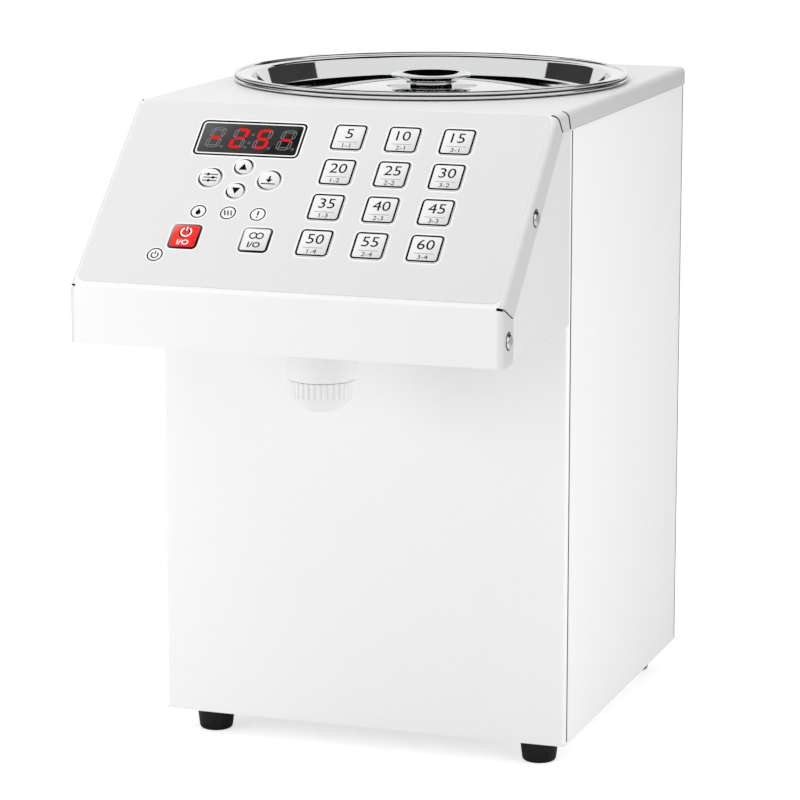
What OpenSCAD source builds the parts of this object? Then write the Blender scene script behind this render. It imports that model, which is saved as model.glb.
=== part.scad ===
// Countertop fructose dispenser: a folded steel case on rubber feet, a round syrup tank with a
// lift-off lid, a gear pump below it, and a sloping keypad over the nozzle.
// Millimetres, +Z up. The origin is on the table, under the middle of the overall box, and -Y is the front.

/* [Case] */
// Room between the tank's insulation and the side panels
side_room = 5.4; // [4:0.1:12]
// Room between the tank's insulation and the front panel
front_room = 7.4; // [6:0.1:14]
// Room between the tank's insulation and the rear panel
rear_room = 9.4; // [8:0.1:20]
// Height of the case, from the panels' lower edges to the top of the cover
case_h = 397; // [385:1:430]
// Thickness of the folded steel sheets
sheet_t = 1; // [0.8:0.1:1.3]
// Outer radius of the folds along the cover's sides and back
fold_r = 4; // [3.5:0.5:5]
// Outer radius of the panels' upright folds
panel_fold_r = 2.5; // [2:0.5:4]
// Thickness of the base pan
base_t = 1.5; // [1:0.1:2.5]
// Height of the base pan's upturned rims
pan_rim_h = 12; // [8:1:20]
// Depth of the cover's skirt over the side panels
skirt_h = 11.5; // [9:0.5:16]
// Width of the seams and relief slits between the sheets
seam = 0.8; // [0.4:0.1:1.2]
// Length of the panels' returns in front of the side seams
return_l = 3.5; // [3:0.5:6]
// Depth of the joggled flanges behind the side panels
joggle_l = 12; // [8:1:16]

/* [Console] */
// How far the console's lip stands ahead of the front panel
console_reach = 138.5; // [130:0.5:150]
// Height of the lip's lower edge above the panels' lower edges
console_z = 263; // [255:1:275]
// Height of the upright lip
lip_h = 35; // [30:1:42]
// Depth of the flat strip between the slope and the front panel
top_strip = 30.6; // [26:0.2:38]
// Depth of the lip's flanges, and of the slope's at their lower ends
flange_w = 21; // [17:0.5:26]
// Depth of the slope's flanges at their upper ends
flange_top_w = 17; // [16:0.5:20]
// Corner radius at the flanges' free ends
flange_corner_r = 5; // [2:0.5:7]
// Where the rear relief slit meets the top, ahead of the front panel
rear_slit_y = 9; // [5:0.5:12]
// Where the rear relief slit ends below, ahead of the front panel
rear_slit_foot = 3.2; // [1:0.2:5]
// Slope screws' distance down the slope from the top fold
slope_screw_s = 69.9; // [60:0.1:84]
// Slope screws' depth below the slope's face
slope_screw_in = 11.1; // [10:0.1:12]
// Lip screws' distance behind the lip's face
lip_screw_y = 11.5; // [10:0.1:12]
// Lip screws' height above the lip's lower edge
lip_screw_z = 14.7; // [10:0.1:17]
// Radius of the cable's hole through the front panel
cable_hole_r = 9; // [6:0.5:12]

/* [Overlay and display] */
// Thickness of the keypad's printed overlay
overlay_t = 0.6; // [0.4:0.1:0.8]
// Bare steel left round the overlay on the slope
overlay_margin = 3.5; // [3:0.5:6]
// Corner radius of the overlay
overlay_r = 5; // [3:0.5:8]
// Width of the display window
window_w = 63; // [56:0.5:66]
// Height of the display window along the slope
window_l = 21.8; // [19:0.2:23]
// Corner radius of the display window
window_r = 2.5; // [1.5:0.5:4]
// Thickness of the display window
window_t = 0.9; // [0.7:0.1:1.5]
// Display centre, left of the middle
display_x = 52.5; // [48:0.5:56]
// Display centre, down the slope from the top fold
display_s = 28.7; // [26:0.1:31]
// Width of the border on which the window is glued
window_seat = 2; // [1.5:0.5:3]

/* [Number keys] */
// Width of a number key
key_w = 20.5; // [17:0.5:22]
// Length of a number key along the slope
key_l = 20.3; // [17:0.1:21]
// Corner radius of the keys
key_r = 3; // [1.5:0.5:4]
// Distance between the columns of number keys
column_pitch = 34.25; // [30:0.25:36]
// Distance between the rows of number keys
row_pitch = 27.2; // [24:0.2:28]
// First column's centre, right of the middle
first_column_x = 9.9; // [9:0.1:14]
// First row's centre, down the slope from the top fold
first_row_s = 24.5; // [20:0.5:28]

/* [Control keys] */
// Middle of the arrow keys, left of the middle of the slope
arrow_x = 50.3; // [48:0.5:53]
// Middle between the two arrow keys, down the slope
arrow_s = 60.3; // [59:0.1:62]
// Distance between the two arrow keys
arrow_pitch = 18.8; // [17:0.2:20]
// Radius of an arrow key
arrow_r = 6.15; // [5:0.05:6.5]
// Distance from the arrows' middle to the set and save keys
set_pitch = 19; // [17:0.5:21]
// Radius of the set and save keys
set_r = 7.6; // [6.5:0.1:8.5]
// Width and length of the power and continuous keys
mode_w = 18.4; // [16:0.2:20]
// Power key's centre, left of the middle
power_x = 72.3; // [70:0.5:76]
// Continuous key's centre, left of the middle
continuous_x = 27.3; // [25:0.5:32]

/* [Key action] */
// How far a key travels when pressed
key_travel = 0.3; // [0.2:0.05:0.35]
// How far a key stands above the overlay
key_proud = 0.5; // [0.4:0.1:0.8]
// Gap round each key in the overlay
key_gap = 0.3; // [0.2:0.05:0.5]
// Radius of a key's stem
stem_r = 1.8; // [1.4:0.1:2.2]
// Gap round each stem in the cover
stem_gap = 0.4; // [0.3:0.1:0.6]

/* [Indicators] */
// Radius of an indicator lens
lens_r = 5; // [4:0.2:5.6]
// Distance between the three function indicators
lens_pitch = 19; // [17:0.5:21]
// Function indicators' row, down the slope
lens_s = 86.6; // [84:0.2:88]
// Power indicator, left of the middle
power_lens_x = 87.2; // [86:0.5:92]
// Power indicator, down the slope
power_lens_s = 120.9; // [119:0.5:124]

/* [Keypad board] */
// Depth of the keypad board's face under the slope
board_depth = 8; // [7.5:0.5:12]
// Board left beyond the power key and beyond the last column of keys
board_margin = 9; // [8:0.5:12]
// Standoffs' distance from the board's edges
standoff_inset = 5; // [4.5:0.5:5.5]
// Lower left standoff's distance from the power indicator
standoff_clear = 12; // [9:0.5:14]
// Radius of a standoff
standoff_r = 3; // [2.5:0.1:3.2]
// Thickness of the circuit boards
board_t = 1.6; // [1:0.2:2]
// Height of a tactile switch's case
switch_h = 3.5; // [2.5:0.5:4]
// Width of a tactile switch's case
switch_w = 6; // [5:0.5:7]
// Radius of a tactile switch's plunger
plunger_r = 1.7; // [1.2:0.1:2]

/* [Tank] */
// Inner radius of the tank
tank_r = 118; // [105:0.5:125]
// Inner depth of the tank below the cover's top
tank_depth = 190; // [170:1:200]
// Thickness of the tank's steel
tank_t = 1; // [0.8:0.1:1.2]
// Width of the tank's rim outside the cover's opening
rim_w = 8; // [6:0.5:9]
// Radius of the rolled beads on the tank's and the lid's rims
bead_r = 1.2; // [0.9:0.1:1.3]
// Gap round the tank in the cover's opening
tank_gap = 0.5; // [0.3:0.1:1]
// Thickness of the tank's rim gasket
gasket_t = 0.8; // [0.5:0.1:1.5]
// Depth of the bottom's dish, which drains to the outlet
dish_h = 6; // [3:0.5:8]
// Thickness of the heater band
heater_t = 1.6; // [1:0.1:2]
// Width of the heater band
heater_w = 45; // [30:1:60]
// Height of the heater band above the tank's floor
heater_up = 8; // [4:1:20]
// Thickness of the insulation sleeve
insulation_t = 7; // [5:0.5:8]
// Room left between the insulation sleeve and the cover
insulation_room = 9; // [4:1:20]
// Radius of the thermostat
thermostat_r = 8; // [6:0.5:10]
// Height of the thermostat's case
thermostat_h = 9; // [6:0.5:12]
// Thermostat's distance from the tank's axis
thermostat_x = 42; // [32:1:48]

/* [Lid] */
// Thickness of the lid's steel
lid_t = 0.8; // [0.6:0.1:1]
// Gap between the lid and the tank's rim
lid_gap = 0.3; // [0.2:0.1:0.5]
// Depth of the lid's moat below its rim
moat_d = 14; // [10:0.5:18]
// Gap between the lid's upright wall and the tank's wall
moat_gap = 1.2; // [0.8:0.1:6]
// Width of the moat's floor
moat_w = 8; // [5:0.5:14]
// How far the lid's wall leans inwards
wall_lean = 3; // [1:0.5:5]
// Radius of the flat middle of the lid
crown_r = 34; // [28:1:44]
// Height of the lid's middle above the moat's floor
crown_h = 7; // [4:0.5:8]
// Radius of the lid's knob
knob_r = 26.3; // [22:0.1:30]
// Radius of the knob's neck
neck_r = 13.7; // [10:0.1:16]
// Height of the knob above the lid's middle
knob_h = 7; // [6:0.5:9]

/* [Nozzle] */
// Nozzle centre, ahead of the front panel's face
nozzle_reach = 70.6; // [60:0.2:80]
// Radius of the nozzle's white body
nozzle_r = 20.7; // [18:0.1:23]
// Height of the nozzle's smooth body
nozzle_h = 26.5; // [20:0.5:32]
// Height of the collar's ribbed grip
grip_h = 9.7; // [7:0.1:14]
// Height of the collar's cone
cone_h = 8.8; // [6:0.2:12]
// Radius of the collar's lower end
tip_r = 10.2; // [9:0.1:13]
// Number of ribs round the collar
ribs = 36; // [24:1:44]
// Radius of the nozzle's spigot inside the collar
spigot_r = 15; // [13:0.1:16]
// Gap between the collar and the spigot
collar_gap = 0.3; // [0.2:0.1:0.5]
// Radius of the syrup's way at the nozzle's mouth
way_r = 5; // [4:0.2:6]
// How much narrower the way is above the mouth
way_step = 1.5; // [1:0.1:2]
// Height over which the way narrows
way_taper_h = 4; // [2:0.5:6]

/* [Syrup line] */
// Inner radius of the hoses
hose_r = 5; // [4:0.1:6]
// Wall of the hoses
hose_wall = 2; // [1.5:0.1:2.5]
// Centre-line radius of the hoses' bends
bend_r = 18; // [15:0.5:22]
// Height of the delivery hose's low run above the pan
low_run_z = 22; // [20:0.5:26]
// Riser of the delivery hose, right of the middle
riser_x = 105; // [95:0.5:108]
// Riser of the delivery hose, behind the front panel
riser_y = 28; // [24:0.5:34]
// Height of the delivery hose above the nozzle's nut in the console
console_run_z = 46; // [42:0.5:52]

/* [Pump] */
// Height of the gears' axes above the pan
pump_z = 88; // [80:1:96]
// Teeth of each pump gear
teeth = 12; // [10:2:14]
// Tooth module, the pitch diameter divided by the teeth
tooth_module = 2; // [1.6:0.1:2.2]
// Width of the gears
gear_w = 12; // [8:1:16]
// Radius of the gears' shafts
shaft_r = 4; // [3:0.5:4.5]
// Radial clearance of the shafts and gears in the pump
running_gap = 0.06; // [0.03:0.01:0.09]
// Wall of the pump housing round the gears
pump_wall = 8; // [6:0.5:12]
// Thickness of the pump's front cover
pump_cover_t = 8; // [7:0.5:10]
// Radius of the motor
motor_r = 27; // [22:0.5:30]
// Length of the motor
motor_l = 84; // [60:1:90]
// Thickness of the pump bracket
bracket_t = 3; // [2:0.5:4]
// Length of the pump bracket's foot
bracket_foot_l = 34; // [26:1:36]
// How far the bracket reaches past the pump
bracket_margin = 4; // [2:0.5:5]

/* [Electrics] */
// Width of the power inlet's flange
inlet_w = 50; // [46:0.5:56]
// Height of the power inlet's flange
inlet_h = 62; // [58:0.5:66]
// Thickness of the power inlet's flange
inlet_t = 2; // [2:0.1:3]
// Overlap of the inlet's flange on the panel at the sides
inlet_lap_x = 3; // [2.5:0.5:4]
// Overlap of the inlet's flange on the panel above and below
inlet_lap_z = 5; // [3:0.5:6]
// Depth of the power inlet's body
inlet_d = 26; // [24:0.5:32]
// Width of the inlet's socket
socket_w = 24.6; // [24:0.1:25.5]
// Height of the inlet's socket
socket_h = 17; // [16.5:0.1:18]
// Depth of the inlet's socket
socket_d = 16; // [14:0.5:18]
// Power inlet's centre, right of the middle
inlet_x = 80; // [70:1:90]
// Power inlet's centre above the panels' lower edges
inlet_z = 60; // [50:1:70]
// Width of the rocker switch
rocker_w = 20; // [16:0.5:22]
// Radius of the rocker about its pivot
rocker_r = 9; // [8:0.5:10]
// Angle through which the rocker tips
rocker_swing = 16; // [12:1:20]
// Gap between the power supply and the pump's bracket
supply_gap = 6; // [3:0.5:12]
// Gap between the power supply and the control board
board_gap = 22; // [16:1:30]
// Height of the power supply
supply_h = 36; // [28:1:50]
// Power supply's distance from the left side panel's face
supply_side = 14; // [10:1:15]
// Power supply's distance from the rear panel's face
supply_rear = 32; // [24:1:34]
// Width of the control board
control_w = 92; // [84:1:96]
// Length of the control board
control_l = 76; // [74:1:80]
// Control board's distance from the left side panel's face
control_side = 12; // [8:1:14]
// Control board's distance from the front panel's face
control_front = 34; // [33:1:36]
// Height of the control board's posts
post_h = 8; // [6:0.5:12]
// Width of a cooling slot
vent_w = 44; // [30:1:50]
// Height of a cooling slot
vent_h = 3; // [2:0.5:4]
// Distance between two cooling slots
vent_pitch = 9; // [7:0.5:12]
// Rows of cooling slots
vents = 8; // [4:1:10]
// Height of the lowest cooling slot above the panels' lower edges
vent_z = 130; // [110:1:150]
// Middle of each bank of cooling slots, beside the middle
vent_x = 62; // [54:1:72]

/* [Feet and fasteners] */
// Height of a foot
foot_h = 17.5; // [14:0.5:24]
// Radius of a foot at its top
foot_r = 12.7; // [11:0.1:15]
// Radius of a foot at its sole
sole_r = 10.8; // [9:0.1:11]
// Feet's distance from the sides
foot_side = 25; // [22:0.5:32]
// Feet's distance from the front and rear panels
foot_end = 25; // [24:0.5:32]
// Depth of the recess in a foot's sole
foot_recess_d = 8; // [5:0.5:10]
// Radius of the recess in a foot's sole
foot_recess_r = 6.5; // [5.5:0.1:6.8]
// Radius of the cover screws' heads
cover_head_r = 4.8; // [4:0.1:5.5]
// Height of the screws' heads
head_h = 2; // [1.6:0.1:2]
// Radius of the rear screws' heads
rear_head_r = 3.2; // [2.8:0.1:3.4]
// Rear screws' distance from the sides
rear_screw_in = 24; // [22:1:28]
// Radius of the screws' shanks
screw_r = 2; // [1.5:0.1:2.3]
// Length of the cover screws' shanks
cover_screw_l = 8; // [6:0.5:10]
// Length of the rear screws' shanks
rear_screw_l = 7; // [5:0.5:9]
// Clearance round the screws' shanks and the standoffs' studs
screw_gap = 0.1; // [0.05:0.05:0.2]

/* [Hidden] */
$fn = 64;

// The case is built round the insulated tank
heater_r = tank_r + tank_t;
insulation_r = heater_r + heater_t + insulation_t;
body_w = 2 * (insulation_r + side_room + 2 * sheet_t);
body_d = 2 * insulation_r + front_room + rear_room + 3 * sheet_t;

// Levels and faces of the case
pan_z = foot_h + base_t;
top_z = pan_z + case_h;
rear_proud = inlet_t - sheet_t;
front_y = (console_reach - body_d - rear_proud) / 2;
back_y = front_y + body_d;
rear_y = back_y - sheet_t;
lip_y = front_y - console_reach;
lip_z = pan_z + console_z;
flange_x = body_w / 2;
side_x = flange_x - sheet_t;
floor_z = lip_z + sheet_t;
panel_top_z = top_z - fold_r;

// The slope runs from the top fold down to the lip's fold
slope_top_y = front_y - top_strip;
slope_foot_z = lip_z + lip_h;
slope_rise = top_z - slope_foot_z;
slope_run = slope_top_y - lip_y;
slope_l = norm([slope_run, slope_rise]);
slope_a = atan2(slope_rise, slope_run);
miter_a = 45 - slope_a / 2;
rear_slit_a = atan2(rear_slit_y - rear_slit_foot, skirt_h);

// Keypad levels, measured out of the slope
pad_floor = key_travel + 0.1;
pad_top = overlay_t + key_proud;
plunger_h = 0.8;
plunger_gap = 0.1;
stem_end = -(board_depth - switch_h - plunger_h - plunger_gap - key_travel);
led_r = 2.5;
last_row_s = first_row_s + 3 * row_pitch;
overlay_w = body_w - 2 * overlay_margin;
overlay_top_s = 1;
overlay_l = slope_l - overlay_margin - overlay_top_s;
number_keys = [for (k = [1:12]) 5 * k];
lens_places = concat(
  [for (k = [-1:1]) [k * lens_pitch - arrow_x, lens_s]],
  [[-power_lens_x, power_lens_s]]
);
number_places = [for (row = [0:3], column = [0:2])
  [first_column_x + column * column_pitch, first_row_s + row * row_pitch]];
set_places = [[-arrow_x - set_pitch, arrow_s], [-arrow_x + set_pitch, arrow_s]];
arrow_places = [[-arrow_x, arrow_s - arrow_pitch / 2], [-arrow_x, arrow_s + arrow_pitch / 2]];
mode_places = [[-power_x, last_row_s], [-continuous_x, last_row_s]];
key_places = concat(number_places, set_places, arrow_places, mode_places);

// Keypad board, behind every key
board_left = -power_x - mode_w / 2 - board_margin;
board_right = first_column_x + 2 * column_pitch + key_w / 2 + board_margin / 2;
board_top_s = first_row_s - key_l / 2;
board_low_s = power_lens_s + lens_r + 1;
module_w = window_w - 2 * window_seat - 1;
module_l = window_l - 2 * window_seat - 0.6;
stud_r = 1.5;
stud_l = 3;
standoff_places = [
  [board_left + standoff_inset, board_top_s + standoff_inset],
  [board_right - standoff_inset, board_top_s + standoff_inset],
  [board_right - standoff_inset, board_low_s - standoff_inset],
  [standoff_clear - power_lens_x, board_low_s - standoff_inset]
];

// Tank and lid levels, measured above the cover's top
tank_axis_y = front_y + sheet_t + front_room + insulation_r;
seat_h = gasket_t + tank_t;
tank_bead_h = gasket_t + bead_r;
lid_seat_h = tank_bead_h + bead_r + lid_gap;
lid_top_h = lid_seat_h + lid_t;
lid_bead_h = lid_seat_h + bead_r;
moat_r = tank_r - moat_gap - lid_t;
moat_floor_h = lid_top_h - moat_d;
moat_floor_r = moat_r - wall_lean;
crown_top_h = moat_floor_h + crown_h;
opening_r = tank_r + tank_t + tank_gap;
rim_r = opening_r + rim_w;
tank_floor_z = top_z - tank_depth;
dish_z = tank_floor_z - dish_h;
knob_screw_r = 2.2;

// Outlet under the tank, and the barbs that the hoses fit
barb_r = hose_r;
outlet_hole_r = hose_r + 3;
outlet_flange_r = 13;
outlet_l = 26;
outlet_flange_t = 2;
barb_l = 14;
nut_t = 5;
suction_top_z = dish_z - outlet_l + barb_l;

// Pump: two equal gears side by side, turning on axes along Y
pitch_r = teeth * tooth_module / 2;
tip_radius = pitch_r + tooth_module;
root_radius = pitch_r - 1.2 * tooth_module;
pump_axis_z = pan_z + pump_z;
chamber_r = tip_radius + running_gap;
pump_w = 2 * (pitch_r + chamber_r + pump_wall);
pump_h = 2 * (chamber_r + pump_wall);
pump_back_t = 8;
pump_front_y = tank_axis_y - gear_w / 2;
pump_back_y = tank_axis_y + gear_w / 2 + pump_back_t;
bearing_depth = 5;
motor_front_y = pump_back_y + bracket_t;
shaft_into_motor = 20;
pump_port_r = 3.5;
drive_x = pitch_r;
pump_top_z = pump_axis_z + pump_h / 2;
pump_low_z = pump_axis_z - pump_h / 2;
bracket_half_w = pump_w / 2 + bracket_margin;

// Nozzle
nozzle_y = front_y - nozzle_reach;
collar_top_z = floor_z - nozzle_h;
collar_h = grip_h + cone_h;
collar_low_z = collar_top_z - collar_h;
nut_r = 17;
stem_thread_r = 11.5;
nozzle_stem_h = 12;
valve_t = 0.9;
spigot_h = grip_h - 1;
rib_d = 0.9;
nozzle_top_z = floor_z + sheet_t + nozzle_stem_h;

// The delivery hose, from the pump's lower port forward, up the right front corner and through
// the console to the nozzle
hose_low_z = pan_z + low_run_z;
hose_run_z = floor_z + console_run_z;
hose_path = [
  [0, tank_axis_y, pump_low_z],
  [0, tank_axis_y, hose_low_z],
  [0, front_y + riser_y, hose_low_z],
  [riser_x, front_y + riser_y, hose_low_z],
  [riser_x, front_y + riser_y, hose_run_z],
  [riser_x, nozzle_y, hose_run_z],
  [0, nozzle_y, hose_run_z],
  [0, nozzle_y, nozzle_top_z]
];

// Power supply, between the left side panel, the bracket and the control board
supply_w = side_x - supply_side - bracket_half_w - supply_gap;
supply_l = rear_y - supply_rear - board_gap - front_y - control_front - control_l;

// Power inlet
inlet_cut_w = inlet_w - 2 * inlet_lap_x;
inlet_cut_h = inlet_h - 2 * inlet_lap_z;
socket_z = -inlet_h / 4 + 1;
rocker_z = inlet_h / 4 - 1;
rocker_pivot_in = 5;
pivot_r = 1.5;

// ---- Shared shapes ----

// A flat rectangle with round corners
module round_rect(w, l, r) {
  square([w - 2 * r, l], center = true);
  square([w, l - 2 * r], center = true);
  for (x = [-1, 1], y = [-1, 1])
    translate([x * (w / 2 - r), y * (l / 2 - r)])
      circle(r);
}

// A plate with round corners, lying on z = 0
module round_plate(w, l, t, r) {
  linear_extrude(t) round_rect(w, l, r);
}

// A plate between two opposite corners
module block(low, high) {
  translate(low) cube(high - low);
}

// A washer-shaped or tubular solid standing on z = 0
module tube(r_out, r_in, h) {
  linear_extrude(h) difference() {
    circle(r_out);
    circle(r_in);
  }
}

// Extrudes a shape drawn in (y, z) along X, centred on x
module across(w, x = 0) {
  translate([x - w / 2, 0, 0]) rotate([90, 0, 90]) linear_extrude(w) children();
}

// The points of an arc round c
function arc(c, r, from, to, steps = 6) =
  [for (i = [0:steps]) let (a = from + (to - from) * i / steps) c + r * [cos(a), sin(a)]];

// Moves its children onto the slope: x from the middle, s down the slope, n out of it
module on_slope(x = 0, s = 0, n = 0) {
  translate([0, slope_top_y, top_z]) rotate([slope_a, 0, 0]) translate([x, -s, n]) children();
}

module at_places(places, n = 0) {
  for (p = places) on_slope(p.x, p[1], n) children();
}

// Both sides of the middle plane
module both_sides() {
  children();
  mirror([1, 0, 0]) children();
}

function unit(v) = v / norm(v);
function beside(v) = unit(abs(v.z) < 0.9 ? cross(v, [0, 0, 1]) : cross(v, [1, 0, 0]));

// Places its children at a point, with the axes u, v and w as their X, Y and Z
module basis(at, u, v, w) {
  multmatrix([[u.x, v.x, w.x, at.x], [u.y, v.y, w.y, at.y], [u.z, v.z, w.z, at.z], [0, 0, 0, 1]])
    children();
}

// A hose along points whose runs meet at right angles
module hose(points) {
  last = len(points) - 1;
  r_out = hose_r + hose_wall;
  for (i = [0:last - 1]) {
    along = unit(points[i + 1] - points[i]);
    from = points[i] + (i > 0 ? bend_r : 0) * along;
    to = points[i + 1] - (i + 1 < last ? bend_r : 0) * along;
    basis(from, beside(along), cross(along, beside(along)), along) tube(r_out, hose_r, norm(to - from));
  }
  for (i = [1:last - 1]) {
    a = unit(points[i] - points[i - 1]);
    b = unit(points[i + 1] - points[i]);
    basis(points[i] - bend_r * a + bend_r * b, -b, a, cross(-b, a))
      rotate_extrude(angle = 90) translate([bend_r, 0]) difference() {
        circle(r_out);
        circle(hose_r);
      }
  }
}

// A button-head screw pointing down, its head standing on z = 0
module screw(head_radius, length) {
  rotate_extrude() polygon(concat(
    [[0, -length], [screw_r, -length], [screw_r, 0], [head_radius, 0], [head_radius, 0.3 * head_h]],
    [for (a = [15:15:75]) [head_radius * cos(a), head_h * (0.3 + 0.7 * sin(a))]],
    [[0, head_h]]
  ));
}

// The hole of such a screw, through the sheets on both sides of z = 0
module screw_hole() {
  cylinder(h = 8 * sheet_t, r = screw_r + screw_gap, center = true);
}

// ---- Case ----

function reversed(list) = [for (i = [len(list) - 1:-1:0]) list[i]];

// A quarter of a sheet's fold of outer radius r, turning from the top (0, 0) down to the right
module fold_section(r) {
  translate([0, -r]) difference() {
    intersection() {
      circle(r);
      square(r);
    }
    circle(r - sheet_t);
  }
}

// The space under the cover, with its side and rear folds, at a depth d inside the outer faces.
// It is what four long prisms share: seen from above, from the front, from the side and along the slope.
module cover_space(d) {
  w = 2 * (flange_x - d);
  l = back_y - lip_y - 2 * d;
  far = 2 * case_h;
  r = fold_r - d;
  intersection() {
    translate([0, (lip_y + back_y) / 2, 0]) linear_extrude(far) round_rect(w, l, r);
    translate([0, far / 2, top_z - d - far / 2]) rotate([90, 0, 0]) linear_extrude(far) round_rect(w, far, r);
    translate([0, back_y - d - far / 2, top_z - d - far / 2]) across(far) round_rect(far, far, r);
    on_slope(0, 0, -d - far / 2) rotate([90, 0, 0]) linear_extrude(far, center = true)
      round_rect(w, far, r);
  }
}

// The cover's outline in (y, z): skirt, slope flange and lip flange
module cover_outline() {
  slit = [sin(slope_a), -cos(slope_a)];
  slope_top = [slope_top_y, top_z];
  corner = [lip_y + flange_w - flange_corner_r, lip_z + flange_corner_r];
  polygon(concat(
    [[back_y + 1, top_z - skirt_h], slope_top + skirt_h / cos(slope_a) * slit, slope_top + flange_top_w * slit,
     [lip_y + flange_w, slope_foot_z - flange_w * tan(miter_a)]],
    arc(corner, flange_corner_r, 0, -90),
    [[lip_y - 1, lip_z], [lip_y - 1, top_z + 1], [back_y + 1, top_z + 1]]
  ));
}

// A relief slit through a side fold and its flange, from a corner (y, z) inwards and down at an angle
module relief_slit(corner, angle) {
  both_sides() translate([flange_x - fold_r, corner.x, corner.y]) rotate([-angle, 0, 0])
    translate([0, -fold_r, -seam / 2]) cube([body_w, 3 * flange_w, seam]);
}

module top_cover() {
  color("white") difference() {
    intersection() {
      difference() {
        cover_space(0);
        cover_space(sheet_t);
      }
      across(2 * body_w) cover_outline();
    }
    relief_slit([slope_top_y, top_z], 90 - slope_a);
    relief_slit([lip_y, slope_foot_z], miter_a);
    relief_slit([front_y - rear_slit_y, top_z], 90 - rear_slit_a);
    translate([0, tank_axis_y, top_z - 2 * sheet_t]) cylinder(h = 3 * sheet_t, r = opening_r, $fn = 96);
    on_slope(-display_x, display_s, -2 * sheet_t)
      round_plate(window_w - 2 * window_seat, window_l - 2 * window_seat, 3 * sheet_t, 1);
    at_places(key_places, -2 * sheet_t) cylinder(h = 3 * sheet_t, r = stem_r + stem_gap);
    at_places(lens_places, -2 * sheet_t) cylinder(h = 3 * sheet_t, r = led_r + screw_gap);
    cover_screw_places() screw_hole();
    upper_rear_places() screw_hole();
  }
}

// The four cover screws, with Z pointing out of the flange
module cover_screw_places() {
  both_sides() {
    on_slope(flange_x, slope_screw_s, -slope_screw_in) rotate([0, 90, 0]) children();
    translate([flange_x, lip_y + lip_screw_y, lip_z + lip_screw_z]) rotate([0, 90, 0]) children();
  }
}

module cover_screws() {
  color("silver") cover_screw_places() screw(cover_head_r, cover_screw_l);
}

// A panel seen from above: its face at y = 0, its folds, and a joggled flange on each side
module panel_outline() {
  square_w = side_x - panel_fold_r;
  translate([-square_w, 0]) square([2 * square_w, sheet_t]);
  both_sides() {
    translate([square_w, 0]) mirror([0, 1]) fold_section(panel_fold_r);
    translate([side_x - sheet_t, panel_fold_r]) square([sheet_t, return_l - panel_fold_r]);
    translate([side_x - 2 * sheet_t, return_l - sheet_t]) square([2 * sheet_t, sheet_t]);
    translate([side_x - 2 * sheet_t, return_l]) square([sheet_t, joggle_l]);
  }
}

module front_panel() {
  color("white") difference() {
    translate([0, front_y, pan_z]) linear_extrude(panel_top_z - pan_z) panel_outline();
    // the hose and the keypad's cable pass into the console
    translate([riser_x, front_y - 1, hose_run_z]) rotate([-90, 0, 0])
      cylinder(h = sheet_t + 2, r = hose_r + hose_wall + 1);
    translate([-riser_x, front_y - 1, hose_run_z]) rotate([-90, 0, 0])
      cylinder(h = sheet_t + 2, r = cable_hole_r);
  }
}

module rear_panel() {
  color("white") difference() {
    translate([0, rear_y, pan_z]) mirror([0, 1, 0]) linear_extrude(panel_top_z - pan_z) panel_outline();
    translate([inlet_x, rear_y, pan_z + inlet_z])
      cube([inlet_cut_w + 1, 4 * sheet_t, inlet_cut_h + 1], center = true);
    // two banks of cooling slots
    for (bank = [-1, 1], row = [0:vents - 1])
      translate([bank * vent_x, rear_y, pan_z + vent_z + vent_pitch * row])
        cube([vent_w, 4 * sheet_t, vent_h], center = true);
    lower_rear_places() screw_hole();
    upper_rear_places() screw_hole();
  }
}

// The rear screws, with Z pointing backwards: two hold the panel to the pan's rim, two hold the
// cover's skirt to the panel
module lower_rear_places() {
  for (x = [-1, 1]) translate([x * (side_x - rear_screw_in), rear_y, pan_z + pan_rim_h / 2])
    rotate([-90, 0, 0]) children();
}

module upper_rear_places() {
  for (x = [-1, 1]) translate([x * (side_x - rear_screw_in), back_y, top_z - (skirt_h + fold_r) / 2])
    rotate([-90, 0, 0]) children();
}

module rear_screws() {
  color("silver") {
    lower_rear_places() screw(rear_head_r, rear_screw_l);
    upper_rear_places() screw(rear_head_r, rear_screw_l);
  }
}

module side_panel() {
  color("white") block(
    [side_x - sheet_t, front_y + return_l + seam, pan_z],
    [side_x, rear_y - return_l - seam, panel_top_z]
  );
}

module right_side_panel() {
  side_panel();
}

module left_side_panel() {
  mirror([1, 0, 0]) side_panel();
}

module foot_places(z) {
  for (x = [-1, 1], y = [front_y + foot_end, rear_y - foot_end])
    translate([x * (flange_x - foot_side), y, z]) children();
}

module base_pan() {
  rim_x = side_x - 2 * sheet_t;
  rim_front = front_y + sheet_t;
  rim_rear = rear_y - sheet_t;
  color("gainsboro") difference() {
    union() {
      block([-side_x, front_y, foot_h], [side_x, rear_y, pan_z]);
      for (y = [rim_front, rim_rear - base_t])
        block([-rim_x + joggle_l, y, pan_z], [rim_x - joggle_l, y + base_t, pan_z + pan_rim_h]);
      for (x = [-rim_x, rim_x - base_t])
        block([x, rim_front + joggle_l, pan_z], [x + base_t, rim_rear - joggle_l, pan_z + pan_rim_h]);
    }
    foot_places(foot_h - 1) cylinder(h = base_t + 2, r = screw_r + screw_gap);
    lower_rear_places() screw_hole();
    // air slots under the power supply
    translate([supply_side + supply_w / 2 - side_x, rear_y - supply_rear - supply_l / 2, pan_z])
      for (k = [-3:3]) translate([0, vent_pitch * k, 0]) cube([vent_w, vent_h, 4 * base_t], center = true);
  }
}

module feet() {
  round_r = 2;
  color([0.09, 0.09, 0.09]) foot_places(0) rotate_extrude() polygon(concat(
    [[screw_r + screw_gap, foot_recess_d], [foot_recess_r, foot_recess_d], [foot_recess_r, 0]],
    arc([sole_r - round_r, round_r], round_r, -90, 0, 5),
    [[foot_r, foot_h], [screw_r + screw_gap, foot_h]]
  ));
}

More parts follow.
